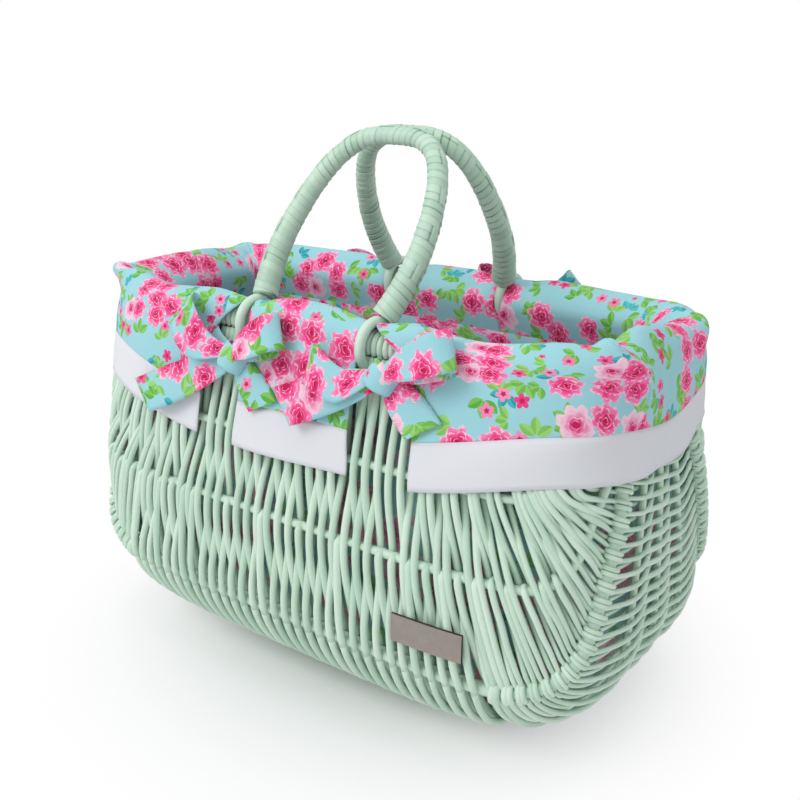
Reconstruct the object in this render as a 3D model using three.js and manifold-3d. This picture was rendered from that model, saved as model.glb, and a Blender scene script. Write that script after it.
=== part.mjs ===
// A wicker handbag: a boat-shaped willow basket with two swinging handles, a sewn cloth
// lining that turns over the rim, a tied bow at each handle foot and a small leather tag.
// Millimetres. +Z is up, +X runs along the basket and -Y is its front. The origin is on
// the ground under the middle of the basket.

import * as THREE from 'three';
import { mergeVertices } from 'three/addons/utils/BufferGeometryUtils.js';
import loadManifold from 'manifold-3d';

// Outside of the weave, from the ground up
const BASE_LENGTH = 230;
const BASE_WIDTH = 96;
const BELLY_LENGTH = 450;
const BELLY_WIDTH = 256;
const BELLY_LEVEL = 84;
const RIM_LENGTH = 424;
const RIM_WIDTH = 190;
const RIM_LEVEL = 260;
const PLAN_SQUARENESS = 5;

// Willow rods and the weave
const WEAVE_THICKNESS = 5;
const WEAVER_PITCH = 6;
const FAN_POWER = 1.3;
const PANEL_SIDE_END = 12;
const PANEL_RELIEF = 6;
const PANEL_BACKING = 2.5;
const RIB_DIAMETER = 6;
const FRAME_DIAMETER = 9;
const HOOP_DIAMETER = 12;
const BINDING_THICKNESS = 5;
const BINDING_SPAN = 220;

// Frame rods and ribs: each is a U on a broad panel, or runs along the belt between them
const FRAME_LEVEL = 62;
const FRAME_CORNER = 45;
const LOWER_RIB_LEVEL = 138;
const UPPER_RIB_LEVEL = 192;
const RIB_CORNER = 32;
const RIB_SPACING = 26;
const BELT_HALF_LOW = 106;
const BELT_HALF_HIGH = 26;
const BELT_RIB_SHARE = 0.43;

// Cloth lining, turned over the rim
const CLOTH_THICKNESS = 1.6;
const LINING_FLOOR_LEVEL = 19;
const LINING_TURN_DEPTH = 25;
const SKIRT_HEM_LEVEL = 182;
const HEM_HEIGHT = 30;
const SLIT_WIDTH = 40;
const SLIT_SPACING = 124;
const SEAM_ANGLE = 16;

// Handles
const HANDLE_SPACING = 104;
const HANDLE_WIDTH = 120;
const HANDLE_WIDEST_HEIGHT = 75;
const HANDLE_LENGTH = 145;
const HANDLE_FOOT_DIAMETER = 19;
const HANDLE_TOP_DIAMETER = 13.5;
const HANDLE_SQUARENESS = 3;
const HANDLE_SIDE_LEAN = 13;
const WRAP_THICKNESS = 2.2;
const WRAP_TURNS = 24;
const WRAP_TURN_GAP = 0.7;
const EYE_ROD_DIAMETER = 7;
const HANDLE_REST_GAP = 0.8;

// Bows
const RIBBON_WIDTH = 27;
const RIBBON_THICKNESS = 2;
const RIBBON_WAIST = 9;
const BOW_LEVEL = 230;
const BOW_LOOP_LENGTH = 54;
const BOW_LOOP_DEPTH = 11;
const BOW_TAIL_LENGTH = 72;
const BOW_LOOP_ANGLE = 30;
const BOW_TAIL_ANGLE = -36;
const KNOT_SIZE = 24;
const KNOT_DEPTH = 14;

// Leather tag
const TAG_LENGTH = 51;
const TAG_HEIGHT = 19;
const TAG_THICKNESS = 2;
const TAG_X = 124;
const TAG_LEVEL = 95;
const TAG_SEAT_DEPTH = 1;

// Clearances
const SEAT_GAP = 0.3;
const CORE_GAP = 0.5;
const ROD_GAP = 1.5;
const RIB_GAP = 1.1;
const BELT_RIB_GAP = 0.9;
const DRAPE_GAP = 0.6;
const EYE_CLEARANCE = 0.8;

// Mesh counts
const QUARTER_STATIONS = 14;
const ROD_SIDES = 6;
const CORNER_STEPS = 5;
const BOWL_STEPS = 4;
const SIDE_STEPS = 4;
const PANEL_STEPS = 3;
const CORE_STEPS = 24;
const EYE_STEPS = 16;
const WRAP_STEPS = 8;

const UP = new THREE.Vector3(0, 0, 1);
const degrees = (angle) => THREE.MathUtils.degToRad(angle);

// Solids

const wasm = await loadManifold();
wasm.setup();

// Six times the signed volume that a triangle list encloses
function signedVolume(points, triangles) {
  let total = 0;
  for (let i = 0; i < triangles.length; i += 3) {
    const [a, b, c] = [points[triangles[i]], points[triangles[i + 1]], points[triangles[i + 2]]];
    total += a.dot(new THREE.Vector3().crossVectors(b, c));
  }
  return total;
}

// Closed solid through rings of points. Each ring has an even count, and an open loft gets
// end caps that tie the first half of a ring to its second half.
function loft(rings, closed = false) {
  const count = rings[0].length;
  const points = rings.flat();
  const triangles = [];
  const spans = closed ? rings.length : rings.length - 1;
  for (let i = 0; i < spans; i++) {
    const here = i * count;
    const next = ((i + 1) % rings.length) * count;
    for (let j = 0; j < count; j++) {
      const k = (j + 1) % count;
      triangles.push(here + j, next + j, next + k, here + j, next + k, here + k);
    }
  }
  if (!closed) {
    const last = (rings.length - 1) * count;
    for (let j = 0; j < count / 2 - 1; j++) {
      const k = count - 1 - j;
      triangles.push(j, j + 1, k - 1, j, k - 1, k);
      triangles.push(last + j, last + k - 1, last + j + 1, last + j, last + k, last + k - 1);
    }
  }
  if (signedVolume(points, triangles) < 0) triangles.reverse();
  const geometry = new THREE.BufferGeometry();
  geometry.setAttribute('position', new THREE.Float32BufferAttribute(points.flatMap((p) => p.toArray()), 3));
  geometry.setIndex(triangles);
  return geometry;
}

// Round rod through a list of points, with its section carried along without twist. The
// diameter is one size, or a list with one for each point.
function rod(points, diameter, closed = false, sides = ROD_SIDES) {
  const count = points.length;
  const pick = (i) => points[closed ? (i + count) % count : THREE.MathUtils.clamp(i, 0, count - 1)];
  let side = null;
  const rings = points.map((point, i) => {
    const along = pick(i + 1).clone().sub(pick(i - 1)).normalize();
    if (!side) {
      const helper = Math.abs(along.z) > 0.9 ? new THREE.Vector3(0, 1, 0) : UP;
      side = new THREE.Vector3().crossVectors(along, helper);
    }
    side = side.clone().addScaledVector(along, -side.dot(along)).normalize();
    const other = new THREE.Vector3().crossVectors(along, side);
    const radius = (Array.isArray(diameter) ? diameter[i] : diameter) / 2;
    return Array.from({ length: sides }, (_, j) => {
      const turn = ((j + 0.5) / sides) * Math.PI * 2;
      return point.clone()
        .addScaledVector(side, Math.cos(turn) * radius)
        .addScaledVector(other, Math.sin(turn) * radius);
    });
  });
  return loft(rings, closed);
}

function toManifold(geometry) {
  const bare = geometry.clone();
  bare.deleteAttribute('normal');
  bare.deleteAttribute('uv');
  const merged = mergeVertices(bare, 1e-5);
  return new wasm.Manifold(new wasm.Mesh({
    numProp: 3,
    vertProperties: new Float32Array(merged.attributes.position.array),
    triVerts: new Uint32Array(merged.index.array),
  }));
}

function fromManifold(solid) {
  const mesh = solid.getMesh();
  const geometry = new THREE.BufferGeometry();
  geometry.setAttribute('position', new THREE.BufferAttribute(mesh.vertProperties, 3));
  geometry.setIndex(new THREE.BufferAttribute(mesh.triVerts, 1));
  return geometry;
}

const join = (...parts) => fromManifold(parts.map(toManifold).reduce((all, part) => all.add(part)));
const cut = (body, ...tools) => fromManifold(
  tools.map(toManifold).reduce((rest, tool) => rest.subtract(tool), toManifold(body)),
);

// Envelope: the outside of the weave, a stack of rounded plan outlines

// Full width at a level: it swells from the base in a quarter ellipse, then draws in to the rim
function swell(level, base, belly, rim) {
  if (level < BELLY_LEVEL) {
    const fall = 1 - Math.max(level, 0) / BELLY_LEVEL;
    return base + (belly - base) * Math.sqrt(1 - fall * fall);
  }
  const rise = (level - BELLY_LEVEL) / (RIM_LEVEL - BELLY_LEVEL);
  return belly - (belly - rim) * rise * rise;
}

const halfLength = (level) => swell(level, BASE_LENGTH, BELLY_LENGTH, RIM_LENGTH) / 2;
const halfWidth = (level) => swell(level, BASE_WIDTH, BELLY_WIDTH, RIM_WIDTH) / 2;

// Stations count round the plan: 0 in the middle of the front, then towards the right end
function station(index, level) {
  const angle = (index / QUARTER_STATIONS) * Math.PI / 2;
  const [s, c] = [Math.sin(angle), Math.cos(angle)];
  const reach = (Math.abs(s) ** PLAN_SQUARENESS + Math.abs(c) ** PLAN_SQUARENESS) ** (-1 / PLAN_SQUARENESS);
  return new THREE.Vector3(halfLength(level) * reach * s, -halfWidth(level) * reach * c, level);
}

function planPoint(place, level) {
  const low = Math.floor(place);
  return station(low, level).lerp(station(low + 1, level), place - low);
}

// Outward normal of the envelope, flat in plan or leaning with the wall
function outward(point, level, leaning = true) {
  const [a, b] = [halfLength(level), halfWidth(level)];
  const [px, py] = [Math.abs(point.x / a), Math.abs(point.y / b)];
  const step = 0.01;
  const slope = (half) => (half(level + step) - half(level)) / step;
  return new THREE.Vector3(
    Math.sign(point.x) * px ** (PLAN_SQUARENESS - 1) / a,
    Math.sign(point.y) * py ** (PLAN_SQUARENESS - 1) / b,
    leaning
      ? -(px ** PLAN_SQUARENESS * slope(halfLength) / a + py ** PLAN_SQUARENESS * slope(halfWidth) / b)
      : 0,
  ).normalize();
}

// A point some depth inside the envelope, square to the wall or level with the ground
function inside(place, level, depth, leaning = true) {
  const point = planPoint(place, level);
  return point.addScaledVector(outward(point, level, leaning), -depth);
}

// Station that lies a distance along the plan from the middle of the right end, towards the front
function stationFromEnd(level, distance) {
  let left = distance;
  for (let i = QUARTER_STATIONS; i > 0; i--) {
    const span = station(i, level).distanceTo(station(i - 1, level));
    if (span >= left) return i - left / span;
    left -= span;
  }
  return 0;
}

// Station on the front at a given place along the basket
function stationAtX(level, x) {
  for (let i = 0; i < QUARTER_STATIONS; i++) {
    const [a, b] = [station(i, level).x, station(i + 1, level).x];
    if (b >= x) return i + (x - a) / (b - a);
  }
  return QUARTER_STATIONS;
}

// Whole stations between two places, with both ends
function stationsBetween(from, to) {
  const places = [from];
  for (let i = Math.ceil(from + 0.05); i < to - 0.05; i++) places.push(i);
  places.push(to);
  return places;
}

// Shell of a wall: columns of levels, from the outer face to a depth
function wall(columns, levels, placeAt, outerDepth, thickness, leansAt = () => true) {
  const down = [...levels].reverse();
  const at = (column, level, depth) => inside(placeAt(column, level), level, depth, leansAt(level));
  return loft(columns.map((column) => [
    ...levels.map((level) => at(column, level, outerDepth)),
    ...down.map((level) => at(column, level, outerDepth + thickness)),
  ]));
}

const spread = (from, to, steps) => Array.from({ length: steps + 1 }, (_, i) => from + (to - from) * i / steps);

// Layers, counted inwards from the envelope
const hoopRadius = HOOP_DIAMETER / 2;
const bindingInner = hoopRadius + SEAT_GAP;
const bindingOuter = bindingInner + BINDING_THICKNESS;
const hoopDepth = bindingOuter;
const panelThickness = PANEL_RELIEF + PANEL_BACKING;
const ribDepth = panelThickness + RIB_GAP + RIB_DIAMETER / 2;
const beltRibDepth = WEAVE_THICKNESS + BELT_RIB_GAP + RIB_DIAMETER / 2;
const bindingFoot = bindingOuter * Math.sin(degrees((BINDING_SPAN - 180) / 2));
const wallTop = RIM_LEVEL - Math.max(hoopRadius, bindingFoot) - SEAT_GAP;
const frameGap = FRAME_DIAMETER / 2 + ROD_GAP;
const drapeRadius = bindingOuter + DRAPE_GAP;
const liningDepth = hoopDepth + drapeRadius;
const skirtOuter = drapeRadius - hoopDepth + CLOTH_THICKNESS;

// U lines on the broad panels

const beltHalf = (level) => THREE.MathUtils.mapLinear(
  level, FRAME_LEVEL, RIM_LEVEL, BELT_HALF_LOW, BELT_HALF_HIGH,
);

const frameLine = { level: FRAME_LEVEL, inset: 0, radius: FRAME_CORNER };
const lowerRibLine = { level: LOWER_RIB_LEVEL, inset: RIB_SPACING, radius: RIB_CORNER };
const upperRibLine = { level: UPPER_RIB_LEVEL, inset: RIB_SPACING * 2, radius: RIB_CORNER };

// The same U line moved inwards; its sides lean, so they move further along the level
const sideLean = Math.hypot(1, (BELT_HALF_LOW - BELT_HALF_HIGH) / (RIM_LEVEL - FRAME_LEVEL));
const offsetLine = (line, by) => (
  { level: line.level + by, inset: line.inset + by * sideLean, radius: line.radius - by }
);

// Station where a U line crosses a level
function lineStation(line, level) {
  const below = Math.max(0, line.level + line.radius - level);
  const corner = line.radius - Math.sqrt(Math.max(0, line.radius ** 2 - below ** 2));
  return stationFromEnd(level, beltHalf(level) + line.inset + corner);
}

// Levels of a U line: close round its corner, then evenly up to the top
function lineLevels(line, top) {
  const corner = spread(0, Math.PI / 2, CORNER_STEPS)
    .map((turn) => line.level + line.radius * (1 - Math.cos(turn)));
  return [...corner, ...spread(line.level + line.radius, top, SIDE_STEPS).slice(1)];
}

function linePath(line, depth, top) {
  const levels = lineLevels(line, top);
  const right = levels.map((level) => inside(lineStation(line, level), level, depth));
  const left = right.map((p) => new THREE.Vector3(-p.x, p.y, p.z)).reverse();
  const reach = lineStation(line, line.level);
  const bottom = stationsBetween(-reach, reach).slice(1, -1).map((place) => inside(place, line.level, depth));
  return [...left, ...bottom, ...right];
}

const mirrorY = (points) => points.map((p) => new THREE.Vector3(p.x, -p.y, p.z));

// Scene graph and finishes

const handbag = new THREE.Group();
handbag.name = 'wicker_handbag';

const finish = (color, roughness) => new THREE.MeshStandardMaterial({ color, roughness, metalness: 0 });
const WILLOW = finish(0xb4d6bf, 0.55);
const LINING = finish(0x9fd9de, 0.85);
const HEM_COTTON = finish(0xf1f2f4, 0.9);
const LEATHER = finish(0x8f8078, 0.6);

function add(name, geometry, material, parent = handbag) {
  const mesh = new THREE.Mesh(geometry, material);
  mesh.name = name;
  parent.add(mesh);
  return mesh;
}

// Rim: a hoop, and the weavers wound over it, open below where they run down the walls

const rimStations = Array.from({ length: QUARTER_STATIONS * 4 }, (_, i) => i);
const hoopPoint = (place) => inside(place, RIM_LEVEL, hoopDepth, false);
add('rim_hoop', rod(rimStations.map(hoopPoint), HOOP_DIAMETER, true), WILLOW);

function bindingRing(place) {
  const centre = hoopPoint(place);
  const out = outward(planPoint(place, RIM_LEVEL), RIM_LEVEL, false);
  const half = degrees(BINDING_SPAN / 2);
  const turns = spread(-half, half, BOWL_STEPS);
  const at = (turn, radius) => centre.clone()
    .addScaledVector(out, Math.sin(turn) * radius)
    .addScaledVector(UP, Math.cos(turn) * radius);
  const chord = Math.cos(half / BOWL_STEPS);
  return [
    ...turns.map((turn) => at(turn, bindingOuter)),
    ...turns.reverse().map((turn) => at(turn, bindingInner / chord)),
  ];
}
add('rim_binding', loft(rimStations.map(bindingRing), true), WILLOW);

// Frame rods and ribs

for (const [side, place] of [['front', (points) => points], ['rear', mirrorY]]) {
  add(`${side}_frame_rod`, rod(place(linePath(frameLine, FRAME_DIAMETER / 2, wallTop)), FRAME_DIAMETER), WILLOW);
  add(`${side}_lower_rib`, rod(place(linePath(lowerRibLine, ribDepth, wallTop)), RIB_DIAMETER), WILLOW);
  add(`${side}_upper_rib`, rod(place(linePath(upperRibLine, ribDepth, wallTop)), RIB_DIAMETER), WILLOW);
}

// A belt rib runs down one end, along the base and up the other end, and the ribs draw together
// with the belt as it narrows towards the rim
function beltRib(belt) {
  const turns = spread(0, Math.PI / 2, CORNER_STEPS + 1);
  const levels = [...turns.map((turn) => BELLY_LEVEL * (1 - Math.cos(turn))),
    ...spread(BELLY_LEVEL, wallTop, SIDE_STEPS).slice(1)];
  const right = levels.map((level) => {
    const across = belt * beltHalf(Math.max(level, FRAME_LEVEL));
    const share = Math.min(Math.abs(across) / halfWidth(level), 0.97);
    const x = halfLength(level) * (1 - share ** PLAN_SQUARENESS) ** (1 / PLAN_SQUARENESS);
    const point = new THREE.Vector3(x, across, level);
    const out = outward(point, Math.max(level, 0.01)).setY(0).normalize();
    return point.addScaledVector(out, -beltRibDepth);
  });
  const left = right.map((p) => new THREE.Vector3(-p.x, p.y, p.z)).reverse();
  return rod([...left, ...right], RIB_DIAMETER);
}
add('belt_rib_front', beltRib(-BELT_RIB_SHARE), WILLOW);
add('belt_rib_middle', beltRib(0), WILLOW);
add('belt_rib_rear', beltRib(BELT_RIB_SHARE), WILLOW);

// Handle feet on the rim

const footX = HANDLE_SPACING / 2;
const footStation = stationAtX(RIM_LEVEL, footX);
const footPoint = hoopPoint(footStation);
const eyeRadius = bindingOuter + EYE_CLEARANCE + EYE_ROD_DIAMETER / 2;
const eyeReach = eyeRadius + EYE_ROD_DIAMETER / 2;

// Weave: broad panels with a notch under the rim for each handle eye, ends, and base

// Feet of the weavers along the right half of a U line, a pitch apart
function weaverFeet(line, top) {
  const reach = lineStation(line, line.level);
  const places = [
    ...stationsBetween(0, reach).map((place) => [place, line.level]),
    ...lineLevels(line, top).slice(1).map((level) => [lineStation(line, level), level]),
  ];
  const feet = [];
  let next = WEAVER_PITCH / 2;
  for (let i = 1; i < places.length; i++) {
    const [from, to] = [places[i - 1], places[i]];
    const span = planPoint(...from).distanceTo(planPoint(...to));
    for (; next < span; next += WEAVER_PITCH) {
      feet.push([0, 1].map((k) => THREE.MathUtils.lerp(from[k], to[k], next / span)));
    }
    next -= span;
  }
  return [...feet, places.at(-1)];
}

// Where a weaver leaves the rim: straight above its foot along the bottom, and fanned out
// from there to the end of the panel for the feet up the side
function weaverHead([place, level], line) {
  const reach = lineStation(line, line.level);
  if (level <= line.level) return place;
  const up = (level - line.level) / (wallTop - line.level);
  return THREE.MathUtils.lerp(reach, lineStation(line, wallTop), up ** FAN_POWER);
}

// One weaver of the right half: outer face from rim to foot, which comes forward and goes back
// in turn with its neighbour's, then the inner face back to the rim
function weaver(foot, line, forward) {
  const head = weaverHead(foot, line);
  const shares = spread(0, 1, PANEL_STEPS);
  const at = (share, depth) => inside(
    THREE.MathUtils.lerp(head, foot[0], share),
    THREE.MathUtils.lerp(wallTop, foot[1], share),
    depth,
  );
  const relief = (i) => {
    if (i === 0) return PANEL_RELIEF / 2;
    return (i % 2 === 0) === forward ? 0 : PANEL_RELIEF;
  };
  return [
    ...shares.map((share, i) => at(share, relief(i))),
    ...[...shares].reverse().map((share) => at(share, panelThickness)),
  ];
}

const panelLine = offsetLine(frameLine, frameGap);
const panelFeet = weaverFeet(panelLine, wallTop - PANEL_SIDE_END);
const rightWeavers = panelFeet.map((foot, i) => weaver(foot, panelLine, i % 2 === 0));
const leftWeavers = panelFeet.map((foot, i) => weaver(foot, panelLine, i % 2 !== 0))
  .map((ring) => ring.map((p) => new THREE.Vector3(-p.x, p.y, p.z)))
  .reverse();

function eyeNotch(x) {
  const width = EYE_ROD_DIAMETER + 2 * EYE_CLEARANCE;
  const depth = eyeReach + EYE_CLEARANCE;
  const reach = BELLY_WIDTH - RIM_WIDTH;
  const box = new THREE.BoxGeometry(width, reach, depth * 2);
  return box.translate(x, footPoint.y, RIM_LEVEL);
}

const frontPanel = cut(
  loft([...leftWeavers, ...rightWeavers]),
  eyeNotch(-footX),
  eyeNotch(footX),
);
add('front_woven_panel', frontPanel, WILLOW);
add('rear_woven_panel', frontPanel.clone().rotateZ(Math.PI), WILLOW);

const endLine = offsetLine(frameLine, -frameGap);
const baseTop = endLine.level;
const endBottom = baseTop + SEAT_GAP;
const endLevels = [endBottom, ...lineLevels(endLine, wallTop).slice(1)];
const endColumns = spread(-Math.PI / 2, Math.PI / 2, SIDE_STEPS * 2).map(Math.sin);
const endPlace = (column, level) => {
  const half = QUARTER_STATIONS - lineStation(endLine, level);
  return QUARTER_STATIONS + column * half;
};
const rightEnd = wall(endColumns, endLevels, endPlace, 0, WEAVE_THICKNESS, (level) => level > endBottom);
add('right_woven_end', rightEnd, WILLOW);
add('left_woven_end', rightEnd.clone().rotateZ(Math.PI), WILLOW);

const baseTurn = Math.acos(1 - baseTop / BELLY_LEVEL);
const baseLevels = spread(0, baseTurn, BOWL_STEPS).map((turn) => BELLY_LEVEL * (1 - Math.cos(turn)));
baseLevels[BOWL_STEPS] = baseTop;
const baseRing = (level, depth) => rimStations.map((place) => {
  const point = planPoint(place, level);
  const out = level > 0 ? outward(point, level, level < baseTop) : UP.clone().negate();
  return point.addScaledVector(out, -depth);
});
add('woven_base', loft([
  ...baseLevels.map((level) => baseRing(level, 0)),
  ...[...baseLevels].reverse().map((level) => baseRing(level, WEAVE_THICKNESS)),
]), WILLOW);

// Lining inside the basket: four walls sewn together at the corners, and a floor

const liningTop = RIM_LEVEL - LINING_TURN_DEPTH;
const liningRise = RIM_LEVEL / (RIM_LEVEL - LINING_FLOOR_LEVEL);
const outsideLevel = (level) => Math.max(0.01, (level - LINING_FLOOR_LEVEL) * liningRise);
const seamStation = QUARTER_STATIONS * (1 - SEAM_ANGLE / 90);
const seamGap = SEAT_GAP / (2 * BELT_HALF_HIGH);

function liningPoint(place, level, depth) {
  const point = planPoint(place, outsideLevel(level));
  return point.addScaledVector(outward(point, outsideLevel(level), false), -depth).setZ(level);
}

function liningWall(from, to) {
  const rise = spread(0, Math.PI / 2, BOWL_STEPS).map((turn) => 1 - Math.cos(turn));
  const levels = rise.map((share) => LINING_FLOOR_LEVEL + (liningTop - LINING_FLOOR_LEVEL) * share);
  const down = [...levels].reverse();
  return loft(stationsBetween(from, to).map((place) => [
    ...levels.map((level) => liningPoint(place, level, liningDepth)),
    ...down.map((level) => liningPoint(place, level, liningDepth + CLOTH_THICKNESS)),
  ]));
}

const frontLining = liningWall(-seamStation + seamGap, seamStation - seamGap);
const rightLining = liningWall(seamStation + seamGap, 2 * QUARTER_STATIONS - seamStation - seamGap);
add('lining_front', frontLining, LINING);
add('lining_rear', frontLining.clone().rotateZ(Math.PI), LINING);
add('lining_right', rightLining, LINING);
add('lining_left', rightLining.clone().rotateZ(Math.PI), LINING);

const floorTop = LINING_FLOOR_LEVEL - SEAT_GAP;
const floorRing = (level) => rimStations.map(
  (place) => liningPoint(place, LINING_FLOOR_LEVEL, liningDepth).setZ(level),
);
add('lining_floor', loft([floorRing(floorTop - CLOTH_THICKNESS), floorRing(floorTop)]), LINING);

// Skirts: the lining turned over the rim and hanging outside, with a white hem band

const skirtBottom = SKIRT_HEM_LEVEL + HEM_HEIGHT;

// One column of a skirt: up the inside, over the rim, and down the outside to the hem
function skirtColumn(placeAt, radius) {
  const over = (turn) => {
    const place = placeAt(RIM_LEVEL);
    const out = outward(planPoint(place, RIM_LEVEL), RIM_LEVEL, false);
    return hoopPoint(place)
      .addScaledVector(out, -Math.cos(turn) * radius)
      .addScaledVector(UP, Math.sin(turn) * radius);
  };
  const inner = liningPoint(placeAt(RIM_LEVEL), liningTop, hoopDepth + radius).setZ(liningTop + SEAT_GAP);
  const drop = spread(RIM_LEVEL, skirtBottom, 2).slice(1);
  const plumb = over(0).setZ(RIM_LEVEL - LINING_TURN_DEPTH / 2);
  return [
    inner,
    plumb,
    ...spread(0, Math.PI, CORNER_STEPS).map(over),
    ...drop.map((level) => inside(placeAt(level), level, hoopDepth - radius, false)),
  ];
}

function skirt(columns) {
  return loft(columns.map((placeAt) => [
    ...skirtColumn(placeAt, drapeRadius),
    ...skirtColumn(placeAt, drapeRadius + CLOTH_THICKNESS).reverse(),
  ]));
}

function hem(columns) {
  const levels = [SKIRT_HEM_LEVEL, skirtBottom - SEAT_GAP];
  const outer = hoopDepth - drapeRadius - CLOTH_THICKNESS;
  return wall(columns, levels, (placeAt, level) => placeAt(level), outer, CLOTH_THICKNESS, () => false);
}

// Columns of the skirt between the handle feet, and of the one that wraps an end
const slitX = SLIT_SPACING / 2;
const slitEdge = (side) => (level) => stationAtX(level, slitX + side * SLIT_WIDTH / 2);
const middleColumns = stationsBetween(-slitEdge(-1)(RIM_LEVEL), slitEdge(-1)(RIM_LEVEL))
  .map((place, i, all) => {
    if (i === 0) return (level) => -slitEdge(-1)(level);
    if (i === all.length - 1) return slitEdge(-1);
    return () => place;
  });
const endSkirtColumns = stationsBetween(slitEdge(1)(RIM_LEVEL), 2 * QUARTER_STATIONS - slitEdge(1)(RIM_LEVEL))
  .map((place, i, all) => {
    if (i === 0) return slitEdge(1);
    if (i === all.length - 1) return (level) => 2 * QUARTER_STATIONS - slitEdge(1)(level);
    return () => place;
  });

for (const [first, second, columns] of [['front', 'rear', middleColumns], ['right', 'left', endSkirtColumns]]) {
  const [skirtSolid, hemSolid] = [skirt(columns), hem(columns)];
  add(`${first}_skirt`, skirtSolid, LINING);
  add(`${second}_skirt`, skirtSolid.clone().rotateZ(Math.PI), LINING);
  add(`${first}_hem`, hemSolid, HEM_COTTON);
  add(`${second}_hem`, hemSolid.clone().rotateZ(Math.PI), HEM_COTTON);
}

// Handles: each swings on the rim hoop, and at rest the two lean together at the top

const archFoot = eyeReach + SEAT_GAP;
const topRadius = HANDLE_TOP_DIAMETER / 2;
const restLean = Math.asin((-footPoint.y - topRadius - HANDLE_REST_GAP / 2) / HANDLE_LENGTH);
console.log(`handle axis at y ${footPoint.y.toFixed(3)}, lean ${THREE.MathUtils.radToDeg(restLean).toFixed(3)}`);

// Arch of a handle in its own plane: X across, Z along the handle from the rim. It is drawn in
// from its widest place to the feet, and leans a little to the right.
const footShare = archFoot / HANDLE_LENGTH;
const archStart = Math.atan2(footShare, (1 - footShare ** HANDLE_SQUARENESS) ** (1 / HANDLE_SQUARENESS));
const arch = new THREE.CatmullRomCurve3(spread(archStart, Math.PI - archStart, 28).map((turn) => {
  const [c, s] = [-Math.cos(turn), Math.sin(turn)];
  const reach = (Math.abs(c) ** HANDLE_SQUARENESS + s ** HANDLE_SQUARENESS) ** (-1 / HANDLE_SQUARENESS);
  const height = HANDLE_LENGTH * reach * s;
  const below = Math.max(0, HANDLE_WIDEST_HEIGHT - height) / (HANDLE_WIDEST_HEIGHT - archFoot);
  const drawn = (HANDLE_WIDTH - HANDLE_SPACING) / 2 * below ** 2;
  const half = HANDLE_WIDTH / 2 * reach * Math.abs(c) - drawn;
  const lean = HANDLE_SIDE_LEAN * (height - archFoot) / (HANDLE_LENGTH - archFoot);
  return new THREE.Vector3(Math.sign(c) * half + lean, 0, height);
}));

// Radius of the wound handle, from a foot over the top to the other foot
const woundRadius = (share) => THREE.MathUtils.lerp(
  topRadius,
  HANDLE_FOOT_DIAMETER / 2,
  Math.abs(2 * share - 1) ** 1.5,
);
const wrapInner = (share) => woundRadius(share) - WRAP_THICKNESS;
const coreDiameter = (share) => 2 * (wrapInner(share) * Math.cos(Math.PI / WRAP_STEPS) - CORE_GAP);

// Flat cane strip wound round the core from foot to foot, as one unbroken band
function wrapRings() {
  const length = arch.getLength();
  const width = (length - WRAP_TURNS * WRAP_TURN_GAP) / (WRAP_TURNS + 1);
  const steps = WRAP_TURNS * WRAP_STEPS;
  const across = new THREE.Vector3(0, 1, 0);
  return Array.from({ length: steps + 1 }, (_, i) => {
    const turn = (i / WRAP_STEPS) * Math.PI * 2;
    const start = (length - width) * i / steps;
    const at = (distance, radiusAt) => {
      const share = THREE.MathUtils.clamp(distance / length, 0, 1);
      const normal = new THREE.Vector3().crossVectors(arch.getTangentAt(share), across);
      return arch.getPointAt(share)
        .addScaledVector(normal, Math.cos(turn) * radiusAt(share))
        .addScaledVector(across, Math.sin(turn) * radiusAt(share));
    };
    const end = start + width;
    return [at(start, wrapInner), at(start, woundRadius), at(end, woundRadius), at(end, wrapInner)];
  });
}

const stripRings = wrapRings();
const turnGaps = stripRings.slice(WRAP_STEPS)
  .map((ring, i) => Math.min(ring[0].distanceTo(stripRings[i][3]), ring[1].distanceTo(stripRings[i][2])));
console.log(`least gap between the turns of a handle wrap: ${Math.min(...turnGaps).toFixed(2)} mm`);

const corePoints = arch.getSpacedPoints(CORE_STEPS);
const coreDiameters = corePoints.map((_, i) => coreDiameter(i / CORE_STEPS));

// Bare loop round the rim at each foot
const eyePath = spread(0, 2 * Math.PI, EYE_STEPS).slice(1)
  .map((turn) => new THREE.Vector3(0, eyeRadius * Math.cos(turn), eyeRadius * Math.sin(turn)));
const eyeSolid = rod(eyePath, EYE_ROD_DIAMETER, true);

for (const [side, facing] of [['front', 1], ['rear', -1]]) {
  const handle = new THREE.Group();
  handle.position.set(0, facing * footPoint.y, RIM_LEVEL);
  handle.rotation.x = -facing * restLean;
  handbag.add(handle);
  add(`${side}_handle_core`, rod(corePoints, coreDiameters, false, WRAP_STEPS), WILLOW, handle);
  add(`${side}_handle_wrap`, loft(stripRings), WILLOW, handle);
  for (const [end, x] of [['left', -footX], ['right', footX]]) {
    const eye = add(`${side}_handle_${end}_eye`, eyeSolid, WILLOW, handle);
    eye.position.x = x;
  }
}

// Bows: two ties at each handle foot. One ties the knot round the other.

// Ribbon that leaves the knot at an angle in the wall's plane. Each step is how far along it
// goes, how far it stands out, and its width.
function ribbon(angle, steps, slant = 0) {
  const along = new THREE.Vector3(Math.cos(degrees(angle)), 0, Math.sin(degrees(angle)));
  const across = new THREE.Vector3(-along.z, 0, along.x);
  const line = steps.map(([far, out]) => along.clone().multiplyScalar(far).setY(-out));
  return loft(line.map((point, i) => {
    const before = line[Math.max(i - 1, 0)];
    const after = line[Math.min(i + 1, line.length - 1)];
    const face = new THREE.Vector3().crossVectors(after.clone().sub(before), across).normalize();
    const skew = i === line.length - 1 ? slant : 0;
    const half = steps[i][2] / 2;
    const at = (side, layer) => point.clone()
      .addScaledVector(across, side * half)
      .addScaledVector(along, side * skew)
      .addScaledVector(face, layer * RIBBON_THICKNESS / 2);
    return [at(-1, -1), at(1, -1), at(1, 1), at(-1, 1)];
  }));
}

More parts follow.
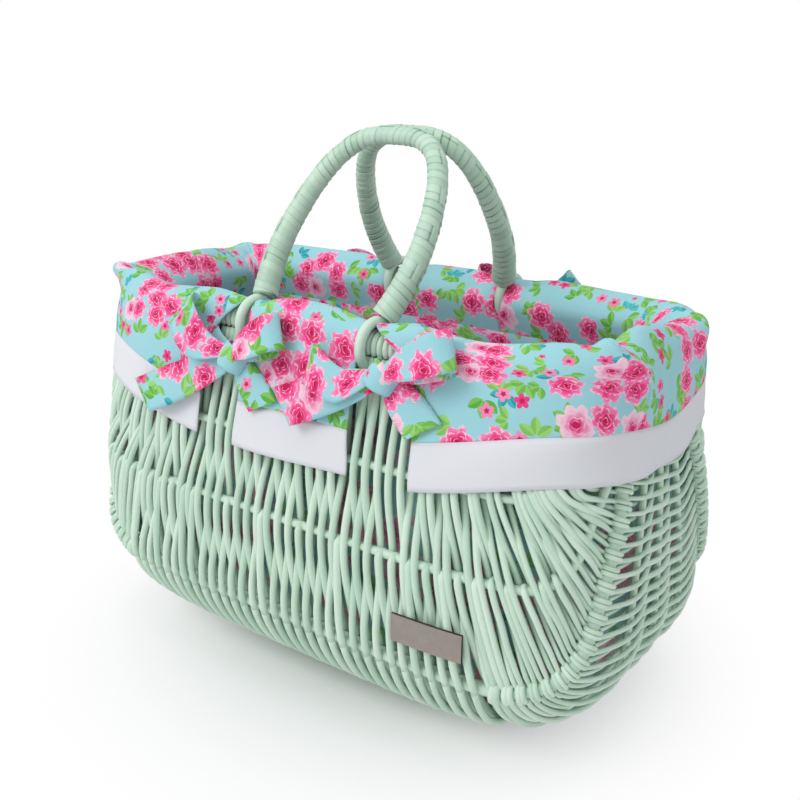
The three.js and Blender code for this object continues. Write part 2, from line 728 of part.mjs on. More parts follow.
const ribbonCentre = RIBBON_THICKNESS / 2;
const knotBack = 2 * ribbonCentre + SEAT_GAP;
const knotEdge = KNOT_SIZE / 2 + SEAT_GAP;

// Loop: out along the wall, round the far end and back over itself
function bowLoop(angle, start, out) {
  const top = out + BOW_LOOP_DEPTH;
  const far = BOW_LOOP_LENGTH - BOW_LOOP_DEPTH / 2;
  const bend = spread(-Math.PI / 2, Math.PI / 2, CORNER_STEPS - 1).map((turn) => [
    far + Math.cos(turn) * BOW_LOOP_DEPTH / 2,
    out + BOW_LOOP_DEPTH / 2 + Math.sin(turn) * BOW_LOOP_DEPTH / 2,
    RIBBON_WIDTH,
  ]);
  const waistTop = out + BOW_LOOP_DEPTH * 0.7;
  return ribbon(angle, [
    [start, out, RIBBON_WAIST],
    [far / 2, out, RIBBON_WIDTH * 0.85],
    ...bend,
    [far / 2, top, RIBBON_WIDTH * 0.85],
    [knotEdge + RIBBON_THICKNESS, waistTop, RIBBON_WAIST],
  ]);
}

const bowTail = (angle, start, out, slant) => ribbon(angle, [
  [start, out, RIBBON_WAIST],
  [BOW_TAIL_LENGTH / 3, out, RIBBON_WIDTH * 0.8],
  [BOW_TAIL_LENGTH, out, RIBBON_WIDTH],
], slant);

const knot = new THREE.SphereGeometry(0.5, 8, 6)
  .scale(KNOT_SIZE, KNOT_DEPTH, KNOT_SIZE)
  .translate(0, -knotBack - KNOT_DEPTH / 2, 0);
const tieLayer = knotBack + ribbonCentre;
const tieSlant = RIBBON_WIDTH / 3;
const underTie = join(
  bowLoop(180 - BOW_LOOP_ANGLE, -RIBBON_WAIST / 2, ribbonCentre),
  bowTail(BOW_TAIL_ANGLE, -RIBBON_WAIST / 2, ribbonCentre, tieSlant),
);
const knottedTie = join(
  knot,
  bowLoop(BOW_LOOP_ANGLE, KNOT_SIZE / 4, tieLayer),
  bowTail(180 - BOW_TAIL_ANGLE, KNOT_SIZE / 4, tieLayer, tieSlant),
);

// Stands a group on the front wall, its +X along the wall and its -Y outwards
function standOnWall(group, place, level, stand) {
  const point = planPoint(place, level);
  const out = outward(point, level);
  const across = new THREE.Vector3().crossVectors(out, UP).negate().normalize();
  const axes = new THREE.Matrix4().makeBasis(across, out.clone().negate(), across.clone().cross(out.clone().negate()));
  group.quaternion.setFromRotationMatrix(axes);
  group.position.copy(point).addScaledVector(out, stand);
  return group;
}

for (const [side, turn] of [['front', 0], ['rear', Math.PI]]) {
  const wallGroup = new THREE.Group();
  wallGroup.rotation.z = turn;
  handbag.add(wallGroup);
  for (const [end, x] of [['left', -slitX], ['right', slitX]]) {
    const facing = turn === 0 ? x : -x;
    const place = Math.sign(facing) * stationAtX(BOW_LEVEL, Math.abs(facing));
    const bow = standOnWall(new THREE.Group(), place, BOW_LEVEL, skirtOuter + SEAT_GAP);
    wallGroup.add(bow);
    add(`${side}_${end}_bow_under_tie`, underTie, LINING, bow);
    add(`${side}_${end}_bow_knotted_tie`, knottedTie, LINING, bow);
  }
}

// Leather tag, low on the right of the front

const tagPlace = stationAtX(TAG_LEVEL, TAG_X);
const tagSpot = standOnWall(new THREE.Group(), tagPlace, TAG_LEVEL, TAG_THICKNESS / 2 - TAG_SEAT_DEPTH);
handbag.add(tagSpot);
add('leather_tag', new THREE.BoxGeometry(TAG_LENGTH, TAG_THICKNESS, TAG_HEIGHT), LEATHER, tagSpot);

export default handbag;
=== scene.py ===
# %% [markdown]
# # A wicker handbag
# A willow basket painted mint green, with two swinging handles, a printed cloth lining that
# turns over the rim, white hems, four tied bows and a small leather tag. The CAD frame gives the
# bodies and the joints. This file gives the looks: each solid is replaced by a piece made the
# way the real one is made, from single willow rods and thin cloth. Everything below works in
# millimetres and is scaled to metres when a mesh is made.

import math

import bpy
import numpy as np
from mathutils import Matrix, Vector


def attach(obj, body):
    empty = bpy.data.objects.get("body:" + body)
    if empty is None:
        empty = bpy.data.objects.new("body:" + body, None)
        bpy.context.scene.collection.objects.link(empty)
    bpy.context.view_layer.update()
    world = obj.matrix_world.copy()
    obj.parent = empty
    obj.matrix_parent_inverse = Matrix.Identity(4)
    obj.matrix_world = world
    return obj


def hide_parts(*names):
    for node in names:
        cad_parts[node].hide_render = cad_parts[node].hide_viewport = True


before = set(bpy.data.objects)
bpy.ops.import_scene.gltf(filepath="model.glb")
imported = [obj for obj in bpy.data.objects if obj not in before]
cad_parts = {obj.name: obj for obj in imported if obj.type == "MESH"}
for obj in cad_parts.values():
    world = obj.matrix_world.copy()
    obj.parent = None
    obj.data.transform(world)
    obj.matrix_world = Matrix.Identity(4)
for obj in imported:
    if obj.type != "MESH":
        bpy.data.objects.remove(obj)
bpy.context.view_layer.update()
MM = 0.001
rng = np.random.default_rng(7)


# %% [markdown]
# ## Sizes
# These are the sizes of the CAD part that the weave and the cloth follow: the outside of the
# basket at its base, belly and rim, the levels of the ribs, and where the handles stand. They
# could be measured on the frame's meshes. Written out, they can be read beside the part's source.

# %% Sizes
BASE, BELLY, RIM = (230.0, 96.0), (450.0, 256.0), (424.0, 190.0)
BELLY_LEVEL, RIM_LEVEL, SQUARE = 84.0, 260.0, 5.0
FRAME_LEVEL, LOWER_RIB, UPPER_RIB = 62.0, 138.0, 192.0
FRAME_CORNER, RIB_CORNER, RIB_SPACING = 45.0, 32.0, 26.0
BELT_LOW, BELT_HIGH, BELT_SHARE = 106.0, 26.0, 0.43
HOOP_DEPTH, HOOP_RADIUS = 11.3, 6.0
FOOT_X, FOOT_Y = 52.0, 83.676
HANDLE_LENGTH, HANDLE_WIDTH, HANDLE_WIDEST = 145.0, 120.0, 75.0
HANDLE_FOOT, HANDLE_TOP, HANDLE_LEAN = 19.0, 13.5, 31.855
LINING_TOP, HEM_TOP, HEM_BOTTOM = 235.0, 212.0, 182.0
ROD_TOP = RIM_LEVEL - 3.5
print("belly, mm:", BELLY, "rim, mm:", RIM, "at level", RIM_LEVEL)

# %% [markdown]
# ## The envelope
# The outside of the weave is a stack of rounded plan outlines. It swells from the base in a
# quarter ellipse and draws in to the rim. A sculpted mesh could give the same bulge, but the rods
# have to know how deep they lie in the wall, so the bulge is a formula with a normal everywhere.

# %% Envelope
LOWEST, NUDGE, FLAT_LEVEL = 0.02, 0.01, 0.05
QUARTER = np.radians(np.linspace(0, 90, 181))


def smooth(x, low, high):
    """0 below low, 1 above high, with a soft start and end."""
    t = np.clip((x - low) / (high - low), 0, 1)
    return t * t * (3 - 2 * t)


def swell(level, axis):
    """Half the length (axis 0) or breadth (axis 1) of the plan outline at a level."""
    level = np.asarray(level, float)
    fall = np.clip(1 - level / BELLY_LEVEL, 0, 1)
    low = BASE[axis] + (BELLY[axis] - BASE[axis]) * np.sqrt(1 - fall ** 2)
    rise = np.clip((level - BELLY_LEVEL) / (RIM_LEVEL - BELLY_LEVEL), 0, 1.2)
    high = BELLY[axis] - (BELLY[axis] - RIM[axis]) * rise ** 2
    return np.where(level < BELLY_LEVEL, low, high) / 2


def outline_reach(s, c):
    """Length of the ray from the middle of a rounded square to its edge, for a sine and cosine."""
    return (np.abs(s) ** SQUARE + np.abs(c) ** SQUARE) ** (-1 / SQUARE)


def outward(p, level=None, leaning=True):
    """Unit normals of the envelope at points p, level in plan or leaning with the wall."""
    p = np.atleast_2d(p)
    z = np.clip(p[:, 2] if level is None else np.broadcast_to(level, len(p)), LOWEST, RIM_LEVEL)
    a, b = swell(z, 0), swell(z, 1)
    px, py = np.abs(p[:, 0] / a), np.abs(p[:, 1] / b)
    nx = np.sign(p[:, 0]) * px ** (SQUARE - 1) / a
    ny = np.sign(p[:, 1]) * py ** (SQUARE - 1) / b
    da, db = (swell(z + NUDGE, 0) - a) / NUDGE, (swell(z + NUDGE, 1) - b) / NUDGE
    nz = -(px ** SQUARE * da / a + py ** SQUARE * db / b) if leaning else np.zeros(len(p))
    n = np.stack([nx, ny, nz], 1)
    flat = p[:, 2] < FLAT_LEVEL
    n[flat & leaning] = (0, 0, -1)
    return n / np.linalg.norm(n, axis=1)[:, None]


def quarter_plan(level):
    """Front right quarter of a plan outline: x, y and distance from the front middle."""
    s, c = np.sin(QUARTER), np.cos(QUARTER)
    reach = outline_reach(s, c)
    x, y = swell(level, 0) * reach * s, -swell(level, 1) * reach * c
    run = np.concatenate([[0], np.cumsum(np.hypot(np.diff(x), np.diff(y)))])
    return x, y, run


def quarter_length(level):
    return quarter_plan(level)[2][-1]


def on_wall(along, level):
    """Points of the front wall for distances along the plan and levels."""
    out = []
    for s, z in zip(np.atleast_1d(along), np.broadcast_to(level, np.shape(np.atleast_1d(along)))):
        x, y, run = quarter_plan(z)
        out.append((np.sign(s) * np.interp(abs(s), run, x), np.interp(abs(s), run, y), z))
    return np.array(out)


print("quarter of the rim, mm:", round(quarter_length(RIM_LEVEL), 1))

# %% [markdown]
# ## Lines on the wall
# A frame rod and two ribs lie in each broad wall, each bent to a U. A hand-drawn curve would do
# for one of them. The weavers need to know where they cross all three, so a U line is given by
# its lowest level, its inset from the belt and its corner radius, and every place on a wall is a
# distance along the plan from the front middle and a level.

# %% Lines on the wall
SPLAY, SPLAY_HEIGHT = 0.4, 45.0
FRAME_LINE = (FRAME_LEVEL, 0.0, FRAME_CORNER)
LOWER_LINE = (LOWER_RIB, RIB_SPACING, RIB_CORNER)
UPPER_LINE = (UPPER_RIB, 2 * RIB_SPACING, RIB_CORNER)


def belt_half(level):
    """Half the breadth of the belt between the two frame rods."""
    return BELT_LOW + (BELT_HIGH - BELT_LOW) * (level - FRAME_LEVEL) / (RIM_LEVEL - FRAME_LEVEL)


def line_reach(level, bottom, inset, radius):
    """Distance along the wall where a U line crosses a level. Its legs splay a little above."""
    straight = bottom + radius
    below = max(0.0, straight - level)
    corner = radius - math.sqrt(max(0.0, radius ** 2 - below ** 2))
    inset = inset * (1 - SPLAY * smooth(level, straight, straight + SPLAY_HEIGHT))
    return quarter_length(level) - belt_half(level) - inset - corner


def half_line(line, steps=9, top=ROD_TOP):
    """Right half of a U line as (distance along the wall, level), from its lowest middle point."""
    bottom, _, radius = line
    start = line_reach(bottom, *line)
    rows = [(s, bottom) for s in np.linspace(0, start, 16)[:-1]]
    for turn in np.linspace(0, math.pi / 2, steps):
        z = bottom + radius * (1 - math.cos(turn))
        rows.append((line_reach(z, *line), z))
    for z in np.linspace(bottom + radius, top, 10)[1:]:
        rows.append((line_reach(z, *line), z))
    return np.array(rows)


print("points on half a frame rod:", len(half_line(FRAME_LINE)))

# %% [markdown]
# ## Meshes
# Blender can give a curve a bevel, which is the quick way to a rod. Here a rod is a tube of rings
# carried along a line of points without twisting, because a weaver is cut into several parts and
# its rings have to meet exactly at the cuts. Many rods go into one mesh, each with its own tone,
# so that the paint varies from rod to rod.

# %% Mesh tools
made = []


def add_piece(name, verts, faces, material, nodes, body="basket", uv=None, tone=None):
    """A mesh as a piece of the bag: it rides on a body and stands in for CAD nodes."""
    mesh = bpy.data.meshes.new(name)
    mesh.from_pydata((np.asarray(verts) * MM).tolist(), [], [list(map(int, f)) for f in faces])
    mesh.shade_smooth()
    if uv is not None:
        layer = mesh.uv_layers.new(name="cut")
        corner = np.empty(len(mesh.loops), int)
        mesh.loops.foreach_get("vertex_index", corner)
        layer.data.foreach_set("uv", np.asarray(uv, float)[corner].ravel())
    if tone is not None:
        mesh.attributes.new("tone", "FLOAT", "POINT").data.foreach_set("value", np.asarray(tone, float))
    mesh.materials.append(material)
    piece = bpy.data.objects.new(name, mesh)
    bpy.context.scene.collection.objects.link(piece)
    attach(piece, body)
    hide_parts(*nodes)
    made.append(name)
    return piece


print("pieces so far:", len(made))

# %% Rods
ODD_DIRECTION = (0.31, 0.17, 0.93)


def unit(v):
    v = np.asarray(v, float)
    return v / np.linalg.norm(v, axis=-1, keepdims=True)


def mirror(points, axis):
    out = np.array(points, float)
    out[..., axis] *= -1
    return out


def tube_rings(points, radius, sides=8, closed=False):
    """Round sections along a line, each turned as little as possible from the one before."""
    p = np.asarray(points, float)
    if closed:
        t = unit(np.roll(p, -1, 0) - np.roll(p, 1, 0))
    else:
        t = unit(np.gradient(p, axis=0))
    radius = np.broadcast_to(radius, len(p))
    turn = np.arange(sides) * 2 * math.pi / sides
    n = np.cross(t[0], ODD_DIRECTION)
    rings = np.empty((len(p), sides, 3))
    for i in range(len(p)):
        n = n - t[i] * (n @ t[i])
        n /= np.linalg.norm(n)
        b = np.cross(t[i], n)
        rings[i] = p[i] + radius[i] * (np.cos(turn)[:, None] * n + np.sin(turn)[:, None] * b)
    return rings


class Bundle:
    """Rods gathered into one mesh."""

    def __init__(self):
        self.verts, self.faces, self.tone, self.count = [], [], [], 0

    def add(self, rings, tone=0.5, closed=False):
        n, k = rings.shape[:2]
        base = self.count
        i = np.arange(n if closed else n - 1)[:, None]
        j = np.arange(k)[None, :]
        here, ahead = base + i * k, base + ((i + 1) % n) * k
        turn = (j + 1) % k
        self.faces.append(np.stack([here + j, here + turn, ahead + turn, ahead + j], -1).reshape(-1, 4))
        if not closed:
            self.faces.append([list(range(base + k - 1, base - 1, -1))])
            self.faces.append([list(range(base + (n - 1) * k, base + n * k))])
        self.verts.append(rings.reshape(-1, 3))
        self.tone.append(np.broadcast_to(tone, (n, k)).ravel())
        self.count += n * k

    def piece(self, name, material, nodes, body="basket"):
        faces = [f for group in self.faces for f in group]
        verts, tone = np.concatenate(self.verts), np.concatenate(self.tone)
        return add_piece(name, verts, faces, material, nodes, body, tone=tone)


print("sides of a rod:", tube_rings([(0, 0, 0), (0, 0, 1)], 1.0).shape[1])

# %% [markdown]
# ## Finishes
# Each finish is built from shader nodes alone, with no pictures. Nodes can be placed by hand in
# the shader editor. A small helper does it in code, so that a finish reads as a short sum.

# %% Shader tools
class Graph:
    """A material whose nodes are added by short calls. Values and links go in alike."""

    def __init__(self, name):
        self.material = bpy.data.materials.new(name)
        self.material.use_nodes = True
        self.tree = self.material.node_tree
        self.tree.nodes.clear()
        self.bsdf = self.tree.nodes.new("ShaderNodeBsdfPrincipled")
        self.out = self.tree.nodes.new("ShaderNodeOutputMaterial")
        self.tree.links.new(self.bsdf.outputs[0], self.out.inputs[0])

    def put(self, socket, value):
        if isinstance(value, bpy.types.NodeSocket):
            self.tree.links.new(value, socket)
        else:
            socket.default_value = value

    def node(self, kind, inputs=None, **props):
        made = self.tree.nodes.new(kind)
        for key, value in props.items():
            setattr(made, key, value)
        for key, value in (inputs or {}).items():
            self.put(made.inputs[key], value)
        return made

    def math(self, operation, a, b=0.0, c=0.0, clamp=False):
        inputs = {0: a, 1: b, 2: c}
        return self.node("ShaderNodeMath", inputs, operation=operation, use_clamp=clamp).outputs[0]

    def vector(self, operation, a, b=(0, 0, 0), c=(0, 0, 0)):
        return self.node("ShaderNodeVectorMath", {0: a, 1: b, 2: c}, operation=operation).outputs

    def scaled(self, colour, factor):
        return self.node("ShaderNodeVectorMath", {0: colour, "Scale": factor}, operation="SCALE").outputs[0]

    def mix(self, factor, a, b):
        return self.node("ShaderNodeMix", {0: factor, 6: a, 7: b}, data_type="RGBA").outputs[2]

    def noise(self, vector, scale, detail=2.0):
        return self.node("ShaderNodeTexNoise", {"Vector": vector, "Scale": scale, "Detail": detail}).outputs

    def step(self, value, low, high):
        """0 below low, 1 above high, smooth between."""
        inputs = {0: value, 1: low, 2: high, 3: 0.0, 4: 1.0}
        return self.node("ShaderNodeMapRange", inputs, interpolation_type="SMOOTHSTEP").outputs[0]

    def bump(self, height, strength, distance):
        inputs = {"Height": height, "Strength": strength, "Distance": distance}
        return self.node("ShaderNodeBump", inputs).outputs[0]

    def finish(self, **sockets):
        for name, value in sockets.items():
            self.put(self.bsdf.inputs[name.replace("_", " ")], value)
        return self.material


def rgb(*srgb):
    """A linear colour from 0 to 255 display values."""
    part = [v / 255 for v in srgb]
    return tuple(v / 12.92 if v <= 0.04045 else ((v + 0.055) / 1.055) ** 2.4 for v in part) + (1.0,)


print("linear middle grey:", [round(v, 3) for v in rgb(128, 128, 128)[:3]])

# %% [markdown]
# ## Painted willow
# The willow carries a satin mint paint. Its tone shifts a little from rod to rod and along each
# rod, and fine grain shows through the paint as a low bump. One flat colour would let the rods
# run together, so the shader mixes a pale and a deep mint by the tone that each rod brings. A
# tone below zero paints shade, a dark green, into the line where two turns of a strip part.

# %% Painted willow
def willow_finish(name, pale, deep):
    g = Graph(name)
    place = g.node("ShaderNodeTexCoord").outputs["Object"]
    tone = g.node("ShaderNodeAttribute", attribute_name="tone").outputs["Fac"]
    cloud = g.noise(place, 45.0, 3.0)[0]
    blend = g.math("ADD", g.math("MULTIPLY", tone, 0.7), g.math("MULTIPLY", cloud, 0.5), clamp=True)
    # painted shade: a tone below zero mixes the willow towards the dark green rgb(74, 100, 84)
    painted_parting_shade = g.math("MULTIPLY", tone, -0.6, clamp=True)
    grain = g.noise(g.vector("MULTIPLY", place, (1, 1, 0.25))[0], 900.0)[0]
    return g.finish(
        Base_Color=g.mix(painted_parting_shade, g.mix(blend, deep, pale), rgb(74, 100, 84)),
        Roughness=0.42,
        Specular_IOR_Level=0.35,
        Normal=g.bump(grain, 0.12, 0.0004),
    )


WILLOW = willow_finish("painted_willow", rgb(216, 236, 219), rgb(186, 216, 193))
CANE = willow_finish("painted_cane", rgb(198, 223, 203), rgb(166, 200, 176))
print("willow finishes:", WILLOW.name, CANE.name)

# %% [markdown]
# ## Leather
# The tag is a scrap of grey-brown leather with a cloudy face, fine pores and dark cut edges. The
# edge could have a material of its own. A tone on its points does the same within one finish.

# %% Leather
def leather_finish():
    g = Graph("tag_leather")
    place = g.node("ShaderNodeTexCoord").outputs["Object"]
    tone = g.node("ShaderNodeAttribute", attribute_name="tone").outputs["Fac"]
    cloud = g.noise(place, 160.0, 4.0)[0]
    pores = g.noise(place, 1800.0)[0]
    face = g.mix(cloud, rgb(138, 128, 119), rgb(160, 149, 140))
    return g.finish(
        Base_Color=g.mix(tone, face, rgb(52, 38, 32)),
        Roughness=0.62,
        Normal=g.bump(pores, 0.25, 0.0003),
    )


LEATHER = leather_finish()
print("leather finish:", LEATHER.name)

# %% [markdown]
# ## Printed cloth
# The lining is an aqua twill with a scattered print of pink blooms, small blossoms and leaves. A
# painted picture would be the usual way to such a print. Here every motif is drawn by nodes from
# the distance and angle to a random cell centre, so the print stays sharp at any size. The motifs
# gather in clusters. The layout is random and isn't taken from any real print.

# %% Scattered motifs
CLUSTER = 76.0
FULL_TURN = 6.283


def cells(g, uv, size, seed, loose):
    """Random cells of about size mm: offset from the centre, the centre itself, and chances."""
    shift = (seed * 37.0, seed * 19.0, 0)
    inputs = {"Vector": g.vector("ADD", uv, shift)[0], "Scale": 1.0 / size, "Randomness": loose}
    cell = g.node("ShaderNodeTexVoronoi", inputs, voronoi_dimensions="2D", feature="F1").outputs
    centre = g.vector("SUBTRACT", cell["Position"], shift)[0]
    offset = g.vector("SUBTRACT", uv, centre)[0]
    chance = g.node("ShaderNodeSeparateColor", {0: cell["Color"]}).outputs
    return offset, centre, chance


def from_cluster(g, centre):
    """Distance of a motif from the middle of its cluster, in mm."""
    offset, _, _ = cells(g, centre, CLUSTER, 2, 0.75)
    return g.vector("LENGTH", offset)["Value"]


def chosen(g, centre, chance, band, spare):
    """1 for a motif that lies in a band of distances from its cluster and isn't spared."""
    spread = from_cluster(g, centre)
    beyond = g.math("GREATER_THAN", spread, band[0])
    within = g.math("LESS_THAN", spread, band[1])
    return g.math("MULTIPLY", g.math("GREATER_THAN", chance[2], spare), g.math("MULTIPLY", beyond, within))


def polar(g, offset):
    apart = g.node("ShaderNodeSeparateXYZ", {0: offset}).outputs
    return g.vector("LENGTH", offset)["Value"], g.math("ARCTAN2", apart[1], apart[0])


def lobes(g, angle, petals, start):
    """1 at the middle of each petal round a centre, 0 between two petals."""
    return g.math("ABSOLUTE", g.math("SINE", g.math("MULTIPLY_ADD", angle, petals / 2, start)))


def less(g, value, limit, soft):
    return g.math("SUBTRACT", 1.0, g.step(value, limit - soft, limit + soft))


print("cluster of motifs, mm:", CLUSTER)

# %% [markdown]
# ## Roses
# A printed rose is a few brush strokes: rings of round petals, dark at the foot and pale at the
# edge, with a broken light line where one ring overlaps the next. Four scalloped rings of falling
# size, laid on each other, give that from one distance and one angle. A noise bends the cells, so
# that no two roses are alike.

# %% Roses
ROSE_CELL = 21.0
ROSE_RINGS = (
    (1.0, 7, rgb(246, 78, 148), rgb(253, 146, 192), rgb(246, 172, 205), rgb(250, 218, 230)),
    (0.72, 5, rgb(236, 44, 120), rgb(252, 102, 164), rgb(242, 134, 184), rgb(249, 198, 218)),
    (0.42, 4, rgb(216, 26, 98), rgb(248, 78, 148), rgb(228, 60, 128), rgb(246, 150, 190)),
    (0.2, 3, rgb(192, 14, 78), rgb(230, 38, 110), rgb(206, 24, 92), rgb(228, 60, 128)),
)


def petal_edge(g, angle, reach, petals, start):
    """Distance from the centre to the edge of a ring of round petals."""
    scallop = g.math("MULTIPLY_ADD", lobes(g, angle, petals, start), 0.26, 0.76)
    return g.math("MULTIPLY", reach, scallop)


def rose_layer(g, uv, under):
    """Full roses in clusters, some of them pale."""
    bend = g.vector("SUBTRACT", g.noise(uv, 0.13)[1], (0.5, 0.5, 0.5))[0]
    bent = g.vector("MULTIPLY_ADD", bend, (7.0, 7.0, 0.0), uv)[0]
    offset, centre, chance = cells(g, bent, ROSE_CELL, 3, 0.7)
    distance, angle = polar(g, offset)
    spread = g.math("MULTIPLY_ADD", chance[2], 12.0, from_cluster(g, centre))
    shown = g.math("LESS_THAN", spread, 37.0)
    reach = g.math("MULTIPLY_ADD", chance[1], 2.8, 10.4)
    pale = g.math("GREATER_THAN", chance[0], 0.78)
    brush = g.step(g.noise(uv, 0.34, 1.0)[0], 0.42, 0.56)
    cloth = under
    for k, (share, petals, foot, edge, pale_foot, pale_edge) in enumerate(ROSE_RINGS):
        start = g.math("MULTIPLY_ADD", chance[0], FULL_TURN, 1.7 * k)
        ring = petal_edge(g, angle, g.math("MULTIPLY", reach, share), petals, start)
        ratio = g.math("DIVIDE", distance, ring)
        tint = g.step(ratio, 0.5, 1.0)
        petal = g.mix(pale, g.mix(tint, foot, edge), g.mix(tint, pale_foot, pale_edge))
        lit = g.math("MULTIPLY", g.step(ratio, 0.84, 0.92), brush)
        petal = g.mix(lit, petal, rgb(252, 206, 222))
        cloth = g.mix(g.math("MULTIPLY", shown, less(g, ratio, 1.0, 0.03)), cloth, petal)
    return cloth


print("rings in a rose:", len(ROSE_RINGS))

# %% [markdown]
# ## Blossoms and leaves
# Round the roses stand small flowers with five petals and sprigs of three pointed leaves. Each
# leaf is a lens: a parabola across its length. The angle is folded to the nearest of the three
# leaves, so that one lens draws the whole sprig.

# %% Blossoms and leaves
GREEN = (rgb(92, 176, 62), rgb(164, 220, 122))
TEAL = (rgb(22, 152, 164), rgb(92, 202, 206))
LEAF_ANGLE = 0.95


def blossom_layer(g, uv, under, size, seed, radius, band, spare):
    """Small flowers with five petals, in a band round the clusters."""
    offset, centre, chance = cells(g, uv, size, seed, 0.85)
    distance, angle = polar(g, offset)
    petals = lobes(g, angle, 5, g.math("MULTIPLY", chance[0], FULL_TURN))
    reach = g.math("MULTIPLY", radius, g.math("MULTIPLY_ADD", petals, 0.45, 0.6))
    ratio = g.math("DIVIDE", distance, reach)
    inside = g.math("MULTIPLY", less(g, ratio, 0.95, 0.05), chosen(g, centre, chance, band, spare))
    petal = g.mix(chance[1], rgb(240, 58, 130), rgb(250, 150, 192))
    petal = g.mix(less(g, ratio, 0.35, 0.1), petal, rgb(206, 24, 88))
    return g.mix(inside, under, petal)


def leaf_layer(g, uv, under, size, seed, leaf, band, spare, shades):
    """Sprigs of three pointed leaves turned at random, in a band round the clusters."""
    length, width = leaf
    offset, centre, chance = cells(g, uv, size, seed, 0.85)
    distance, angle = polar(g, offset)
    turned = g.math("SUBTRACT", angle, g.math("MULTIPLY", chance[0], FULL_TURN))
    turned = g.math("WRAP", turned, math.pi, -math.pi)
    nearest = g.math("ROUND", g.math("DIVIDE", turned, LEAF_ANGLE))
    nearest = g.math("MAXIMUM", -1.0, g.math("MINIMUM", 1.0, nearest))
    turned = g.math("SUBTRACT", turned, g.math("MULTIPLY", nearest, LEAF_ANGLE))
    along = g.math("MULTIPLY", distance, g.math("COSINE", turned))
    aside = g.math("MULTIPLY", distance, g.math("SINE", turned))
    along = g.math("DIVIDE", g.math("SUBTRACT", along, length + 0.8), length)
    lens = g.math("ADD", g.math("POWER", along, 2.0), g.math("DIVIDE", g.math("ABSOLUTE", aside), width))
    inside = g.math("MULTIPLY", less(g, lens, 0.94, 0.07), chosen(g, centre, chance, band, spare))
    half = g.math("GREATER_THAN", aside, 0.0)
    shade = g.math("ADD", g.math("MULTIPLY", half, 0.4), g.math("MULTIPLY", chance[1], 0.5))
    return g.mix(inside, under, g.mix(shade, *shades))


print("shades of leaves:", len(GREEN) + len(TEAL))

# %% [markdown]
# ## Twill and cotton
# The layers are laid on the aqua ground from the smallest leaves to the roses. A slanting wave
# gives the ribs of the twill as a bump, and as painted shade that darkens the colour between the
# ribs. A real lining is printed on one side only, and its dull back shows between the rods, so the
# lining has a second version of the finish that turns pale on the side that looks out of the
# basket, tinted green as painted light bounced from the willow. The hems are plain white cotton.

# %% Twill and cotton
def printed_cloth(name, one_sided):
    """The print, on both faces or on the one that looks into the basket."""
    g = Graph(name)
    uv = g.node("ShaderNodeUVMap", uv_map="cut").outputs[0]
    cloth = rgb(160, 214, 222)
    cloth = leaf_layer(g, uv, cloth, 19.0, 14, (2.8, 1.3), (44.0, 110.0), 0.72, GREEN)
    cloth = blossom_layer(g, uv, cloth, 15.0, 8, 2.6, (44.0, 110.0), 0.8)
    cloth = leaf_layer(g, uv, cloth, 21.0, 9, (5.0, 2.8), (34.0, 62.0), 0.6, TEAL)
    cloth = leaf_layer(g, uv, cloth, 23.0, 5, (5.6, 3.2), (22.0, 52.0), 0.15, GREEN)
    cloth = leaf_layer(g, uv, cloth, 19.0, 11, (4.6, 2.6), (26.0, 58.0), 0.45, GREEN)
    cloth = blossom_layer(g, uv, cloth, 13.0, 6, 5.0, (34.0, 54.0), 0.7)
    cloth = rose_layer(g, uv, cloth)
    slope = g.node("ShaderNodeVectorRotate", {"Vector": uv, "Angle": 0.72}, rotation_type="Z_AXIS")
    ribs = {"Vector": slope.outputs[0], "Scale": 0.34, "Distortion": 0.2}
    ridge = g.node("ShaderNodeTexWave", ribs).outputs[0]
    if one_sided:
        surface = g.node("ShaderNodeNewGeometry").outputs
        from_middle = g.vector("MULTIPLY", surface["Position"], (1, 1, 0))[0]
        outside = g.vector("DOT_PRODUCT", surface["Normal"], from_middle)["Value"]
        # the dull unprinted back, tinted green as painted light bounced from the willow
        back = g.mix(0.35, cloth, rgb(150, 186, 178))
        cloth = g.mix(g.math("GREATER_THAN", outside, 0.0), cloth, back)
    # painted shade: the colour darkens between the twill ribs, which also give the bump
    return g.finish(
        Base_Color=g.scaled(cloth, g.math("MULTIPLY_ADD", ridge, 0.18, 0.87)),
        Roughness=0.8,
        Specular_IOR_Level=0.2,
        Sheen_Weight=0.12,
        Normal=g.bump(ridge, 0.2, 0.0004),
    )


def plain_cloth():
    g = Graph("white_cotton")
    uv = g.node("ShaderNodeUVMap", uv_map="cut").outputs[0]
    weave = g.node("ShaderNodeTexWave", {"Vector": uv, "Scale": 0.5}).outputs[0]
    return g.finish(
        Base_Color=rgb(223, 224, 228),
        Roughness=0.85,
        Specular_IOR_Level=0.2,
        Normal=g.bump(weave, 0.08, 0.0003),
    )


PRINT = printed_cloth("printed_twill", False)
LINING_PRINT = printed_cloth("lining_twill", True)
COTTON = plain_cloth()
print("cloth finishes:", PRINT.name, LINING_PRINT.name, COTTON.name)

# %% [markdown]
# ## Frame rods and ribs
# This is the skeleton of the basket: a thick rod edges each broad panel in a U, two thinner ribs
# lie inside it, and three ribs run along the belt, down one end, under the base and up the other.
# Bevelled curves would look the same from far off. As tubes set into the envelope, they lie at a
# known depth, so that the weavers can pass in front of them and behind.

# %% Frame rods and ribs
FRAME_RADIUS, RIB_RADIUS, BELT_RIB_RADIUS = 4.5, 3.0, 2.3
FRAME_DEPTH, SIDE_DEPTH, RIB_DEPTH, BELT_RIB_DEPTH = 7.4, 5.0, 6.2, 5.8
FRAME_STEPS = (FRAME_LEVEL + 4, FRAME_LEVEL + 34, HEM_BOTTOM - 4, HEM_TOP)


